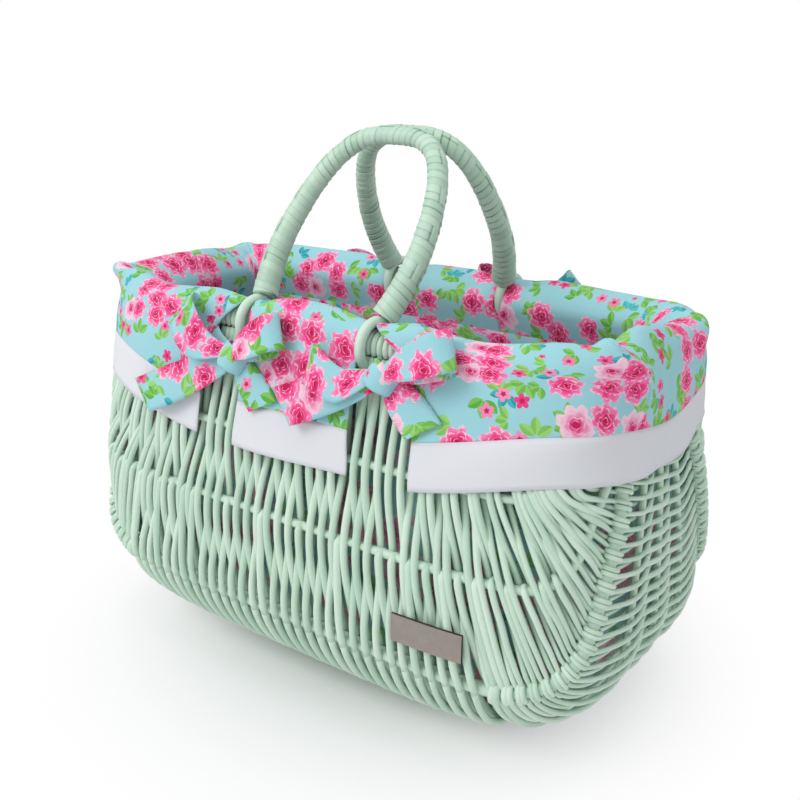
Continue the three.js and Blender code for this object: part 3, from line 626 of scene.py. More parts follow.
def frame_depth(level):
    """The frame rod lies deep under the weavers below and under the hem, and stands out between."""
    up = np.interp(level, FRAME_STEPS, (0, 1, 1, -0.4))
    return FRAME_DEPTH + (SIDE_DEPTH - FRAME_DEPTH) * up


def rib_depth(level):
    return np.full(np.shape(level), RIB_DEPTH)


def set_in(points, depth):
    """Points moved inwards from the envelope."""
    return points - outward(points) * np.broadcast_to(depth, len(points))[:, None]


def whole_line(line, depth_at):
    half = half_line(line)
    right = set_in(on_wall(half[:, 0], half[:, 1]), depth_at(half[:, 1]))
    return np.concatenate([mirror(right[:0:-1], 0), right])


def belt_rib_path(share):
    """A rib of the belt, at a share of the belt's half breadth from its middle."""
    turn = np.linspace(0, math.pi / 2, 12)
    levels = np.concatenate([BELLY_LEVEL * (1 - np.cos(turn)), np.linspace(BELLY_LEVEL, ROD_TOP, 12)[1:]])
    across = share * belt_half(np.maximum(levels, FRAME_LEVEL))
    a, b = swell(levels, 0), swell(levels, 1)
    x = a * (1 - np.minimum(np.abs(across) / b, 0.97) ** SQUARE) ** (1 / SQUARE)
    right = set_in(np.stack([x, across, levels], 1), BELT_RIB_DEPTH)
    return np.concatenate([mirror(right[::-1], 0), right])


def rod_piece(node, points, radius):
    bundle = Bundle()
    bundle.add(tube_rings(points, radius, 10), 0.45)
    bundle.piece(f"{node}_willow", WILLOW, [node])


for side in ("front", "rear"):
    for kind, line, depth_at, radius in (
        ("frame_rod", FRAME_LINE, frame_depth, FRAME_RADIUS),
        ("lower_rib", LOWER_LINE, rib_depth, RIB_RADIUS),
        ("upper_rib", UPPER_LINE, rib_depth, RIB_RADIUS),
    ):
        path = whole_line(line, depth_at)
        rod_piece(f"{side}_{kind}", mirror(path, 1) if side == "rear" else path, radius)
for name, share in (("front", -BELT_SHARE), ("middle", 0.0), ("rear", BELT_SHARE)):
    rod_piece(f"belt_rib_{name}", belt_rib_path(share), BELT_RIB_RADIUS)
print("pieces with the frame rods and ribs:", len(made))

# %% [markdown]
# ## Weavers
# Each weaver is one long rod. It starts under the front rim, passes in front of one rib and
# behind the next, goes round the frame rod, crosses the belt under the basket or round its end,
# and climbs the rear wall the same way. Neighbours take opposite sides of every rib. A woven
# texture on a shell would be quick, but the gaps, the shadows and the outline would be missing,
# so every rod is a line of its own. The helpers come first: where a line on the wall crosses a U
# line, how its depth swings between the crossings, how its corners are rounded, and how it wobbles.

# %% Weaver helpers
FRONT_OF_RIB, BEHIND_RIB = 2.5, 10.4
FRONT_OF_FRAME, BEHIND_FRAME, BESIDE_FRAME = 1.9, 12.4, 6.0
FRONT_OF_BELT, BEHIND_BELT = 2.6, 9.4


def side_of(along, level, line):
    """Positive outside a U line, negative inside it."""
    if level < line[0]:
        return line[0] - level
    return along - line_reach(level, *line)


def crossing(path, line):
    """Share of a wall path at which it leaves a U line, or None."""
    value = np.array([side_of(s, z, line) for s, z in path])
    found = np.nonzero((value[:-1] <= 0) & (value[1:] > 0))[0]
    if len(found) == 0:
        return None
    i = found[0]
    return (i + value[i] / (value[i] - value[i + 1])) / (len(path) - 1)


def eased(knots, at):
    """Depth along a path: level at every crossing, with a smooth swing between."""
    where, depth = np.array(knots).T
    i = np.clip(np.searchsorted(where, at, side="right") - 1, 0, len(where) - 2)
    return depth[i] + (depth[i + 1] - depth[i]) * smooth(at, where[i], where[i + 1])


def relaxed(path, joints, reach=4, rounds=3):
    """Rounds the corners of a path near some of its points."""
    out = path.copy()
    for joint in joints:
        lo, hi = max(1, joint - reach), min(len(path) - 1, joint + reach + 1)
        for _ in range(rounds):
            out[lo:hi] = (out[lo - 1: hi - 1] + 2 * out[lo:hi] + out[lo + 1: hi + 1]) / 4
    return out


def wander(count, size=0.3, waves=3, cycles=2.0):
    """A slow random wobble along a line."""
    t = np.linspace(0, 1, count)
    out = np.zeros(count)
    for k in range(1, waves + 1):
        out += rng.normal(0, 1 / k) * np.sin(2 * math.pi * (cycles * k * t / 2 + rng.random()))
    return out * size


print("depth in front of a rib and behind it, mm:", FRONT_OF_RIB, BEHIND_RIB)

# %% [markdown]
# ## Rods on the wall
# In the middle of a wall the rods stand upright. Towards the lower corners they fan out, and
# since the wall widens there, some rods don't start at the rim: they are hooked over a rib. Both
# kinds follow the same line from the rim to the frame rod. A short rod takes only its lower part
# and begins with a small arc round the rib.

# %% Rods on the wall
FAN_LEVEL, WALL_POINTS, KNEE = 198.0, 43, 10
HEAD_DEPTH, HOOK_GAP = 5.0, 1.2


def wall_line(foot, fan_place):
    """Line of a weaver on the right half of the front wall, from the rim to the frame rod."""
    w = np.linspace(0, 1, WALL_POINTS)
    lean = (foot[0] - fan_place) / max(30.0, FAN_LEVEL - foot[1])
    head = np.array([fan_place - 0.4 * lean * (ROD_TOP - FAN_LEVEL), ROD_TOP])
    waist = np.array([fan_place, max(FAN_LEVEL, foot[1] + 12)])
    path = np.stack([np.interp(w, (0, w[KNEE], 1), (head[k], waist[k], foot[k])) for k in (0, 1)], 1)
    return relaxed(path, (KNEE,), 8, 12)


def long_rod(path, front, at_frame):
    """A weaver from the rim to the frame rod, in front of one rib and behind the other."""
    w = np.linspace(0, 1, len(path))
    knots = [(0.0, HEAD_DEPTH)]
    for line, seen in ((UPPER_LINE, front), (LOWER_LINE, not front)):
        place = crossing(path, line)
        if place is not None and knots[-1][0] + 0.07 < place < 0.93:
            knots.append((place, FRONT_OF_RIB if seen else BEHIND_RIB))
    knots.append((1.0, at_frame))
    s = path[:, 0] + wander(len(path))
    return set_in(on_wall(s, path[:, 1]), eased(knots, w))


def short_rod(path, at_frame, rib):
    """A weaver hooked over a rib, from there to the frame rod, or None where it misses the rib."""
    place = crossing(path, rib)
    if place is None or place > 0.92:
        return None
    w = np.linspace(place, 1, 22)
    whole = np.linspace(0, 1, len(path))
    s = np.interp(w, whole, path[:, 0]) + wander(len(w))
    z = np.interp(w, whole, path[:, 1])
    points = set_in(on_wall(s, z), eased([(place, FRONT_OF_RIB - 0.4), (1.0, at_frame)], w))
    n = outward(points[:1])[0]
    up = unit(points[0] - points[1])
    radius = RIB_RADIUS + HOOK_GAP
    centre = points[0] - n * radius
    turns = np.linspace(math.pi * 0.95, math.pi * 0.08, 8)
    hook = [centre + radius * (math.cos(t) * n + math.sin(t) * up) for t in turns]
    return np.concatenate([hook, points])


print("points on a wall line:", len(wall_line((0.0, FRAME_LEVEL), 0.0)))

# %% [markdown]
# ## Belt and frame rod
# From the frame rod a weaver goes on across the belt: straight under the basket, and round the
# ends in a plane that turns about the lower corner. Where that plane meets the envelope has no
# short formula, so it is found by halving. At the sides the weavers take a turn round the frame
# rod in pairs, which is drawn as an arc between the wall and the belt.

# %% Belt and frame rod
BELT_SAG = 7.0
HALVINGS, FAR = 40, 300.0
WRAP_FROM, WRAP_TO, WRAP_GAP, WRAP_RISE = -82, 104, 1.4, 0.6
frame_half = half_line(FRAME_LINE, 15, ROD_TOP - 4)
frame_run = np.concatenate([[0], np.cumsum(np.hypot(*np.diff(frame_half, axis=0).T))])
bottom_run = line_reach(FRAME_LEVEL, *FRAME_LINE)
corner_x = on_wall([bottom_run], FRAME_LEVEL)[0][0]


def on_frame(run):
    """Distance along the wall and level of the frame rod, at a distance walked along it."""
    return np.array([np.interp(run, frame_run, frame_half[:, k]) for k in (0, 1)])


def belt_run(foot, at_frame, at_rib, at_middle):
    """A weaver across the belt, from the front frame rod to the rear one."""
    x, y, z = foot
    hub = np.array([min(x, corner_x), max(z, FRAME_LEVEL + FRAME_CORNER)])
    way = unit(np.array([x, z]) - hub)
    t = np.linspace(-1, 1, 41)
    across = np.abs(y) * (np.sin(t * math.pi / 2) * 0.75 + t * 0.25)
    low, high = np.zeros(len(t)), np.full(len(t), FAR)
    for _ in range(HALVINGS):
        mid = (low + high) / 2
        px, pz = hub[0] + way[0] * mid, hub[1] + way[1] * mid
        level = np.clip(pz, 0, None)
        full = (np.abs(px) / swell(level, 0)) ** SQUARE + (np.abs(across) / swell(level, 1)) ** SQUARE
        inside = (full < 1) & (pz > 0)
        low, high = np.where(inside, mid, low), np.where(inside, high, mid)
    points = np.stack([hub[0] + way[0] * low, across, np.maximum(hub[1] + way[1] * low, 0)], 1)
    sag = smooth(1 - np.abs(across / y), 0, 1 - BELT_SHARE)
    sag = BELT_SAG * np.clip((z - FRAME_LEVEL - 12) / 40, 0, 1) * sag
    points = points - sag[:, None] * np.array([0, 0, 1.0])
    rib = BELT_SHARE * belt_half(max(z, FRAME_LEVEL)) / abs(y)
    knots = [(-1, at_frame), (-rib, at_rib), (0, at_middle), (rib, at_rib), (1, at_frame)]
    return set_in(points, eased(knots, across / abs(y)))


def frame_arc(run):
    """Part of a turn round the right side of the front frame rod, from the wall to the belt."""
    ends = np.array([on_frame(run + k) for k in (-2, 2)])
    edge = set_in(on_wall(ends[:, 0], ends[:, 1]), frame_depth(ends[:, 1]))
    centre, along = (edge[0] + edge[1]) / 2, unit(edge[1] - edge[0])
    n = outward(centre[None])[0]
    n = unit(n - along * (n @ along))
    beside = np.cross(n, along)
    turn = np.radians(np.linspace(WRAP_FROM, WRAP_TO, 9))[:, None]
    arc = centre + (FRAME_RADIUS + WRAP_GAP) * (np.cos(turn) * n + np.sin(turn) * beside)
    return arc + along * (turn * WRAP_RISE), centre


def clear_of(points, centre, gap):
    """The points of a line that lie at least a gap away from a centre."""
    return points[np.linalg.norm(points - centre, axis=1) > gap]


print("half frame rod, mm:", round(float(frame_run[-1]), 1))

# %% [markdown]
# ## Weaving
# The rods are spaced evenly on the walls and on the belt, and drawn together in pairs only where
# they turn round the frame rod, as the maker pulls them tight there. Two short lists say where on
# the frame rod a weaver ends and where on the fan level it comes from. Rods differ a little in
# thickness and thin out towards the turn. Each finished rod is cut at the two frame rods into
# the woven parts of the basket.

# %% One weaver
PITCH, PAIR_PITCH, PAIR_GAP = 5.1, 9.4, 3.0
ROD_RADIUS, SIDE_RADIUS, TIP_RADIUS, BELT_RADIUS = 2.7, 2.1, 1.55, 2.0
UPRIGHT_HALF, HIGH_FOOT, LOW_FOOT = 98.0, 104.0, FRAME_LEVEL + 14
WALL_CLEAR, BELT_CLEAR = 8.5, 8.0
side_levels = (65.0, 72.0, 79.0, 87.0, 97.0, 123.0, 139.0, 170.0, 202.0, ROD_TOP)
side_runs = [np.interp(z, frame_half[15:, 1], frame_run[15:]) for z in side_levels]
fan_runs = [0.0, UPRIGHT_HALF, 128.0, bottom_run, *side_runs]
fan_places = (0.0, 88.0, 111.0, 128.0, 140.0, 147.0, 153.0, 160.0, 168.0, 177.0, 184.0, 197.0, 220.0, 258.0)


def weaver_line(run, even, sided, hooked, front):
    """A weaver on the right of the basket, from rim to rim, and the two points where it is cut."""
    spaced = on_frame(even)
    path = wall_line(spaced, np.interp(even, fan_runs, fan_places))
    rib = UPPER_LINE if on_frame(run)[1] > HIGH_FOOT else LOWER_LINE
    at_frame = FRONT_OF_FRAME if front else BEHIND_FRAME
    if sided:
        at_frame = BESIDE_FRAME
    walls = []
    for _ in range(2):
        rod = short_rod(path, at_frame, rib) if hooked else None
        walls.append(long_rod(path, front, at_frame) if rod is None else rod)
    at_rib, at_middle = (BEHIND_BELT, FRONT_OF_BELT) if front else (FRONT_OF_BELT, BEHIND_BELT)
    belt = belt_run(on_wall([spaced[0]], spaced[1])[0], at_frame, at_rib, at_middle)
    if sided:
        arc, centre = frame_arc(run)
        walls = [np.concatenate([clear_of(wall, centre, WALL_CLEAR), arc]) for wall in walls]
        belt = clear_of(clear_of(belt, centre, BELT_CLEAR), mirror(centre, 1), BELT_CLEAR)
    else:
        belt = belt[1:-1]
    line = np.concatenate([walls[0], belt, mirror(walls[1], 1)[::-1]])
    cuts = (len(walls[0]) - 1, len(line) - len(walls[1]))
    return relaxed(line, () if sided else cuts), cuts


def weaver_girth(count, cuts, thin):
    """Radius along a weaver, slim round the frame rods where thin is 1."""
    a, b = cuts
    bends = (a - 20, a - 8, a + 8, (a + b) / 2, b - 8, b + 8, b + 20)
    girths = (SIDE_RADIUS, TIP_RADIUS, TIP_RADIUS, BELT_RADIUS, TIP_RADIUS, TIP_RADIUS, SIDE_RADIUS)
    slim = np.interp(np.arange(count), bends, girths)
    return rng.uniform(0.92, 1.05) * (ROD_RADIUS + (slim - ROD_RADIUS) * thin)


print("fan reaches, mm:", fan_places[-1])

# %% All weavers
stops = [(run, run, False) for run in np.arange(PITCH / 2, bottom_run, PITCH)]
for run in np.arange(stops[-1][0] + PITCH, frame_run[-1] - PAIR_GAP, PAIR_PITCH):
    middle = run + PAIR_PITCH / 4
    stops += [(middle - PAIR_GAP / 2, run, True), (middle + PAIR_GAP / 2, run + PAIR_PITCH / 2, True)]
woven = {name: Bundle() for name in ("front", "rear", "left", "right", "base")}
for j, (run, even, sided) in enumerate(stops):
    thin = float(np.clip((run - bottom_run) / 40, 0, 1))
    hooked = j % 7 == 3 if run < UPRIGHT_HALF else j % 3 == 1
    for end in ("right", "left"):
        line, cuts = weaver_line(run, even, sided, hooked, (j % 2 == 0) != (end == "left"))
        if end == "left":
            line = mirror(line, 0)
        rings = tube_rings(line, weaver_girth(len(line), cuts, thin))
        tone = rng.random()
        under = "base" if on_frame(run)[1] < LOW_FOOT else end
        woven["front"].add(rings[: cuts[0] + 1], tone)
        woven[under].add(rings[cuts[0]: cuts[1] + 1], tone)
        woven["rear"].add(rings[cuts[1]:], tone)
for part, node in (
    ("front", "front_woven_panel"), ("rear", "rear_woven_panel"), ("left", "left_woven_end"),
    ("right", "right_woven_end"), ("base", "woven_base"),
):
    woven[part].piece(f"{part}_weavers", WILLOW, [node])
print("weavers:", 2 * len(stops))

# %% [markdown]
# ## Rim
# The rim hoop is bound all along with split willow, one turn beside the next. It shows only in
# the four slits where the handles stand. A spiral curve would bind it in one go. Single arcs are
# simpler to keep level on a hoop that isn't round, and their joins lie out of sight below.

# %% Rim binding
BINDING_RADIUS, BINDING_PITCH, BINDING_SLANT = 2.4, 4.7, 1.1
UP = np.array([0, 0, 1.0])


def rim_frame(angle):
    """Centre of the hoop and the outward direction at a plan angle from the front middle."""
    s, c = np.sin(angle), np.cos(angle)
    reach = outline_reach(s, c)
    p = np.stack([RIM[0] / 2 * reach * s, -RIM[1] / 2 * reach * c, np.full_like(s, RIM_LEVEL)], 1)
    n = outward(p, RIM_LEVEL, False)
    return p - n * HOOP_DEPTH, n


fine = np.linspace(0, 2 * math.pi, 1441)
hoop_line, _ = rim_frame(fine)
hoop_run = np.concatenate([[0], np.cumsum(np.linalg.norm(np.diff(hoop_line, axis=0), axis=1))])
turns = int(hoop_run[-1] / BINDING_PITCH)
centres, outs = rim_frame(np.interp(np.linspace(0, hoop_run[-1], turns, endpoint=False), hoop_run, fine))
sweep = np.linspace(math.radians(-25), math.radians(205), 13)[:, None]
slant = np.linspace(-BINDING_SLANT, BINDING_SLANT, len(sweep))[:, None]
binding = Bundle()
for centre, out in zip(centres, outs):
    radius = HOOP_RADIUS + BINDING_RADIUS - 0.1
    arc = centre + radius * (np.cos(sweep) * out + np.sin(sweep) * UP)
    arc = arc + np.cross(out, UP) * slant
    binding.add(tube_rings(arc, BINDING_RADIUS, 6), rng.random())
binding.piece("rim_binding_willow", WILLOW, ["rim_binding"])
hoop = Bundle()
hoop.add(tube_rings(hoop_line[:-1:6], HOOP_RADIUS, 10, closed=True), 0.4, closed=True)
hoop.piece("rim_hoop_willow", WILLOW, ["rim_hoop"])
print("turns of rim binding:", turns)

# %% [markdown]
# ## Handles
# Each handle is an arch of cane wound closely with two flat strips side by side, thick at the
# feet and slimmer at the top. At each foot a bare loop goes round the rim. A bump map could fake
# the winding, but the outline would stay smooth. So the strips are a spiral step in the tube
# itself: every turn stands a little over the one before it, and painted shade darkens the thin
# line where they part. A flat leader runs along the outside and dips under some of the turns,
# with painted shade along its edges. Handles ride on their own bodies, so they swing with the joints.

# %% Handle arch
HANDLE_SQUARENESS, HANDLE_SIDE_LEAN = 3.0, 13.0
EYE_RADIUS, EYE_ROD = 15.6, 3.6
ARCH_FOOT = EYE_RADIUS + 3.8


def arch_points(count):
    """Evenly spaced points along the arch: sideways, up the handle, and distance walked."""
    share = ARCH_FOOT / HANDLE_LENGTH
    start = math.atan2(share, (1 - share ** HANDLE_SQUARENESS) ** (1 / HANDLE_SQUARENESS))
    turn = np.linspace(start, math.pi - start, 900)
    c, s = -np.cos(turn), np.sin(turn)
    reach = (np.abs(c) ** HANDLE_SQUARENESS + s ** HANDLE_SQUARENESS) ** (-1 / HANDLE_SQUARENESS)
    h = HANDLE_LENGTH * reach * s
    below = np.maximum(0, HANDLE_WIDEST - h) / (HANDLE_WIDEST - ARCH_FOOT)
    half = HANDLE_WIDTH / 2 * reach * np.abs(c) - (HANDLE_WIDTH / 2 - FOOT_X) * below ** 2
    x = np.sign(c) * half + HANDLE_SIDE_LEAN * (h - ARCH_FOOT) / (HANDLE_LENGTH - ARCH_FOOT)
    run = np.concatenate([[0], np.cumsum(np.hypot(np.diff(x), np.diff(h)))])
    at = np.linspace(0, run[-1], count)
    return np.interp(at, run, x), np.interp(at, run, h), at


def to_handle(side, x, out, height):
    """Handle coordinates (along the bag, outwards, up the handle) to the bag at rest."""
    lean = math.radians(HANDLE_LEAN)
    y = -FOOT_Y - out * math.cos(lean) + height * math.sin(lean)
    z = RIM_LEVEL + out * math.sin(lean) + height * math.cos(lean)
    p = np.stack([x, y, z], -1)
    return p if side == "front" else mirror(p, 1)


arch_length = arch_points(2)[2][-1]
print("length of a handle's arch, mm:", round(float(arch_length), 1))

# %% Handle winding
STRIP_WIDTH, STRIPS, TURN_STEPS, AROUND = 5.2, 2, 12, 48
STRIP_STEP, STRIP_INSET = 0.55, 0.75
LEADER_HALF, LEADER_LIP, LEADER_ENDS = 0.36, 0.42, 0.86


def chance_of(number, seed):
    """A repeatable random value for each turn."""
    return np.mod(np.sin(number * 12.9898 + seed * 78.233) * 43758.5453, 1.0)


def strip_relief(at, around, seed):
    """Height of the strips over the core and their tone, round the handle at one place."""
    place = at / STRIP_WIDTH + STRIPS * around / (2 * math.pi)
    number = np.floor(place)
    share = place - number
    odd = chance_of(number, seed)
    step = STRIP_STEP * share * (0.25 + odd)
    part = np.exp(-(np.minimum(share, 1 - share) / 0.07) ** 2)
    # painted shade in the partings, stronger on some turns and towards one side of the handle
    part = part * np.where(chance_of(number, seed + 3) > 0.6, 0.65 + 0.35 * np.sin(around + 5 * odd), 0.15)
    bearing = np.mod(around - (0.55 + 0.35 * math.sin(at / 60 + seed)), 2 * math.pi)
    bearing = np.minimum(bearing, 2 * math.pi - bearing)
    over = (np.mod(number + seed, 5) < 2) * (np.abs(2 * at / arch_length - 1) < LEADER_ENDS)
    leader = over * (bearing < LEADER_HALF)
    # a low groove along the leader's edges, with painted shade there
    lip = 0.7 * over * np.exp(-((bearing - LEADER_LIP) / 0.09) ** 2)
    rise = np.where(leader, STRIP_STEP, step - 0.55 * part) - 0.5 * lip
    # the painted shade of the partings and the leader's edges, taken off the tone below
    painted_shade = np.clip(part * (1 - leader) * (0.45 + odd) + lip, 0, 1)
    return rise, 0.2 + 0.75 * chance_of(number, seed + 5) - 2.2 * painted_shade


def wound_handle(side, seed):
    x, h, at = arch_points(int(arch_length / STRIP_WIDTH * TURN_STEPS))
    tx, th = np.gradient(x, at), np.gradient(h, at)
    around = np.arange(AROUND) * 2 * math.pi / AROUND
    body = HANDLE_TOP / 2 + (HANDLE_FOOT - HANDLE_TOP) / 2 * np.abs(2 * at / arch_length - 1) ** 1.5
    rings, tones = [], []
    for i in range(len(at)):
        rise, tone = strip_relief(at[i], around, seed)
        r = body[i] - STRIP_INSET + rise
        px = x[i] - th[i] * r * np.cos(around)
        ph = h[i] + tx[i] * r * np.cos(around)
        rings.append(to_handle(side, px, r * np.sin(around), ph))
        tones.append(tone)
    bundle = Bundle()
    bundle.add(np.array(rings), np.array(tones))
    nodes = [f"{side}_handle_wrap", f"{side}_handle_core"]
    bundle.piece(f"{side}_handle_cane", CANE, nodes, f"{side}_handle")


def handle_eye(side, end, x):
    turn = np.linspace(0, 2 * math.pi, 40, endpoint=False)
    path = to_handle(side, np.full(len(turn), x), EYE_RADIUS * np.cos(turn), EYE_RADIUS * np.sin(turn))
    bundle = Bundle()
    bundle.add(tube_rings(path, EYE_ROD, 10, closed=True), 0.6, closed=True)
    bundle.piece(f"{side}_handle_{end}_loop", WILLOW, [f"{side}_handle_{end}_eye"], f"{side}_handle")


for side, seed in (("front", 1), ("rear", 2)):
    wound_handle(side, seed)
    for end, x in (("left", -FOOT_X), ("right", FOOT_X)):
        handle_eye(side, end, x)
print("turns of cane on each handle:", round(arch_length / STRIP_WIDTH, 1))

# %% [markdown]
# ## Cloth
# A cloth simulation could hang the lining, but it would have to be run again for every render
# and would not stay on the lines of the seams. Here a cloth piece is a grid of points with the
# folds worked in, made thick by a modifier. Its texture coordinates are millimetres on the flat
# cloth, so the print keeps its size everywhere.

# %% Cloth tools
CLOTH_THICK = 0.8


def ring_point(angle, level, depth, plan_level=None):
    """Point at a plan angle (radians from the front middle) and level, some depth inside."""
    plan = np.clip(level if plan_level is None else plan_level, LOWEST, RIM_LEVEL)
    s, c = np.sin(angle), np.cos(angle)
    reach = outline_reach(s, c)
    x, y = swell(plan, 0) * reach * s, -swell(plan, 1) * reach * c
    p = np.stack([x, y, np.broadcast_to(level, s.shape)], -1)
    flat = p.reshape(-1, 3)
    n = outward(flat, np.broadcast_to(plan, s.shape).ravel(), False)
    return (flat - n * np.broadcast_to(depth, s.shape).ravel()[:, None]).reshape(p.shape)


def angle_at(x, level=RIM_LEVEL):
    """Plan angle on the front wall at a place along the bag."""
    xs, _, _ = quarter_plan(level)
    return float(np.sign(x) * np.interp(abs(x), xs, QUARTER))


def ripple(a, b, seed, size, scale):
    """Smooth random relief over a grid, from a few crossing waves."""
    local = np.random.default_rng(seed)
    out = np.zeros(np.broadcast(a, b).shape)
    for _ in range(6):
        fa, fb = local.normal(0, scale, 2)
        out += np.sin(fa * a + fb * b + local.random() * FULL_TURN)
    return out * size / 2.4


def grid_lengths(grid):
    """Distances across and down a cloth grid, as means over its rows and columns."""
    across = np.linalg.norm(np.diff(grid, axis=0), axis=2)
    down = np.linalg.norm(np.diff(grid, axis=1), axis=2)
    u = np.concatenate([[0], np.cumsum(across.mean(1))])
    v = np.concatenate([[0], np.cumsum(down.mean(0))])
    return u, v


def grid_spots(grid):
    """Texture coordinates of a cloth grid, in mm."""
    u, v = grid_lengths(grid)
    return np.stack(np.broadcast_arrays(u[:, None], v[None, :]), -1)


def grid_faces(columns, rows):
    i, j = np.meshgrid(np.arange(columns - 1), np.arange(rows - 1), indexing="ij")
    first = (i * rows + j).ravel()
    return np.stack([first, first + rows, first + rows + 1, first + 1], 1)


def thicken(piece, thickness):
    solid = piece.modifiers.new("cloth", "SOLIDIFY")
    solid.thickness = thickness * MM
    solid.offset = 0


def cloth(name, grid, material, slot, node, spots, held, rests):
    """A cloth piece from a grid of points (columns by rows)."""
    faces = grid_faces(*grid.shape[:2])
    piece = add_piece(name, grid.reshape(-1, 3), faces, material, [node], uv=spots.reshape(-1, 2))
    thicken(piece, CLOTH_THICK)


print("thickness of the cloth, mm:", CLOTH_THICK)

# %% [markdown]
# ## Lining
# The lining is sewn from four walls and a floor and hangs inside the basket, a little loose, so
# it shows soft upright folds. The walls are set in from the weave at right angles to it, so that
# no light gets between the rods of the belt. They lean away from the weave towards the top,
# where the cloth turns over the rim. The floor is a laid piece.

# %% Lining
SEAM = math.radians(66)
LINING_DEPTH, LINING_SLACK, END_SLACK = 17.0, 16.0, 7.0
RIM_REACH = 180
FOLD_SIZE, FOLD_SCALE, LEAN_FROM = 2.6, 0.045, 120


def lining_depth(share, angle):
    """Depth of the hanging lining inside the envelope, at a share of its height."""
    slack = END_SLACK + (LINING_SLACK - END_SLACK) * np.cos(angle) ** 2
    return LINING_DEPTH + slack * share ** 2


def lining_grid(a0, a1, columns, seed):
    """A wall of the lining between two plan angles, from the floor to the rim."""
    level = LINING_TOP * (1 - np.cos(np.linspace(0, math.pi / 2, 24)))
    angle = np.linspace(a0, a1, columns)[:, None]
    angle, level = np.broadcast_arrays(angle, level[None, :])
    share = level / LINING_TOP
    run = angle * RIM_REACH
    folds = ripple(run, level, seed, FOLD_SIZE, FOLD_SCALE) + 1.5 * np.sin(run * 0.09 + seed) * share
    sewn = np.sin(np.linspace(0, math.pi, columns))[:, None] ** 0.5
    depth = lining_depth(share, angle) + np.maximum(folds, -2.0) * np.sin(share * math.pi) ** 0.5 * sewn
    wall = ring_point(angle, level, 0.0)
    n = outward(wall.reshape(-1, 3)).reshape(wall.shape)
    n[..., 2] *= 1 - smooth(level, LEAN_FROM, LINING_TOP)
    return wall - unit(n) * depth[..., None]


def lining_floor():
    angle = np.linspace(0, 2 * math.pi, 80)[:, None]
    radial = np.linspace(0.02, 1, 12)[None, :]
    edge = ring_point(angle, np.full(angle.shape, LINING_DEPTH), 0.0, np.full(angle.shape, LOWEST))
    grid = edge * np.stack([radial, radial, np.ones_like(radial)], -1)
    grid[..., 2] = LINING_DEPTH + 0.4 + ripple(grid[..., 0], grid[..., 1], 8, 0.8, 0.03)
    points, faces = grid.reshape(-1, 3), grid_faces(*grid.shape[:2])
    piece = add_piece("lining_floor_cloth", points, faces, PRINT, ["lining_floor"],
                      uv=points[:, :2] + (400, 90))


for name, a0, a1, columns, seed in (
    ("front", -SEAM, SEAM, 70, 3), ("right", SEAM, math.pi - SEAM, 26, 4),
    ("rear", math.pi - SEAM, math.pi + SEAM, 70, 5), ("left", math.pi + SEAM, 2 * math.pi - SEAM, 26, 6),
):
    grid = lining_grid(a0, a1, columns, seed)
    cloth(f"lining_{name}_cloth", grid, LINING_PRINT, "lining_cloth", f"lining_{name}",
          grid_spots(grid) + (seed * 61, seed * 43), "hung", "rim_binding")
lining_floor()
print("pieces with the lining:", len(made))

# %% [markdown]
# ## Skirts and hems
# The lining turns over the rim and hangs outside in four pieces, split at the handle feet. The
# turn is full and soft and stands well above the rim. Inside, the cloth slopes into the basket,
# and the slits close there. At the four corners a seam draws the cloth to a peak. The white hem
# is lowest beside the slits and rises round the corners, where the cloth has further to go. One
# swept section would miss all of this, so the section is a smooth line through six knots, and
# each knot moves in and out, up and down along the rim.

# %% Skirt outline
SLITS = {"left": (-78.0, -42.0), "right": (51.0, 99.0)}
HEM_LIFT, END_LIFT = 20.0, 11.0
RISE_DEGREES, FALL_DEGREES = (19, 47), (52, 90)
SEAM_LEAN, FOOT_GAP = math.radians(13), 3.9
SKIRT_LEVEL, SKIRT_STAND = 240.0, 6.0


def folded(angle):
    """Plan angle taken back to the first quarter, by symmetry."""
    turn = np.abs(np.mod(angle + math.pi, 2 * math.pi) - math.pi)
    return np.minimum(turn, math.pi - turn)


def hump(x, width):
    """1 at x = 0, falling smoothly to nothing about two widths away."""
    return np.exp(-(x / width) ** 2)


def hem_rise(angle):
    """How far the hem is drawn up: none beside the slits, most at the corners."""
    turn = np.degrees(folded(angle))
    fall = (HEM_LIFT - END_LIFT) * smooth(turn, *FALL_DEGREES)
    return HEM_LIFT * smooth(turn, *RISE_DEGREES) - fall


def seam_lean(place):
    """How far the corner seam leans from its foot towards the broad wall, along the section."""
    return SEAM_LEAN * smooth(-np.abs(place - 2.0), -2.2, -0.2)


skirt_turn = np.linspace(-1.0, 7.0, 2000)
skirt_line = ring_point(skirt_turn, np.full(skirt_turn.shape, SKIRT_LEVEL), -SKIRT_STAND)
skirt_run = np.concatenate([[0], np.cumsum(np.linalg.norm(np.diff(skirt_line, axis=0), axis=1))])
slits = {side: [angle_at(x) for x in pair] for side, pair in SLITS.items()}
gaps = {"left": (-FOOT_X - FOOT_GAP, -FOOT_X + FOOT_GAP), "right": (FOOT_X - FOOT_GAP, FOOT_X + FOOT_GAP)}
feet_of = {side: [angle_at(x) for x in pair] for side, pair in gaps.items()}
print("hem rise at the corners, mm:", round(float(hem_rise(SEAM)), 1))

# %% Skirt section
PUFF, LEAST_PUFF, CORNER_REACH = 21.0, 13.5, 190
PEAK_WIDTH, GROOVE_WIDTH, SPIKE_WIDTH, EDGE_EASE = 13, 1.1, 8, 26
SLIT_EASE, SLIT_CLOSING = 9, 0.0044
PROFILE_STEPS = (7, 7, 8, 6, 9)
SKIRT_ROWS = sum(PROFILE_STEPS) + 1
RIM_ROW = sum(PROFILE_STEPS[:2])
HEM_ROWS = 9


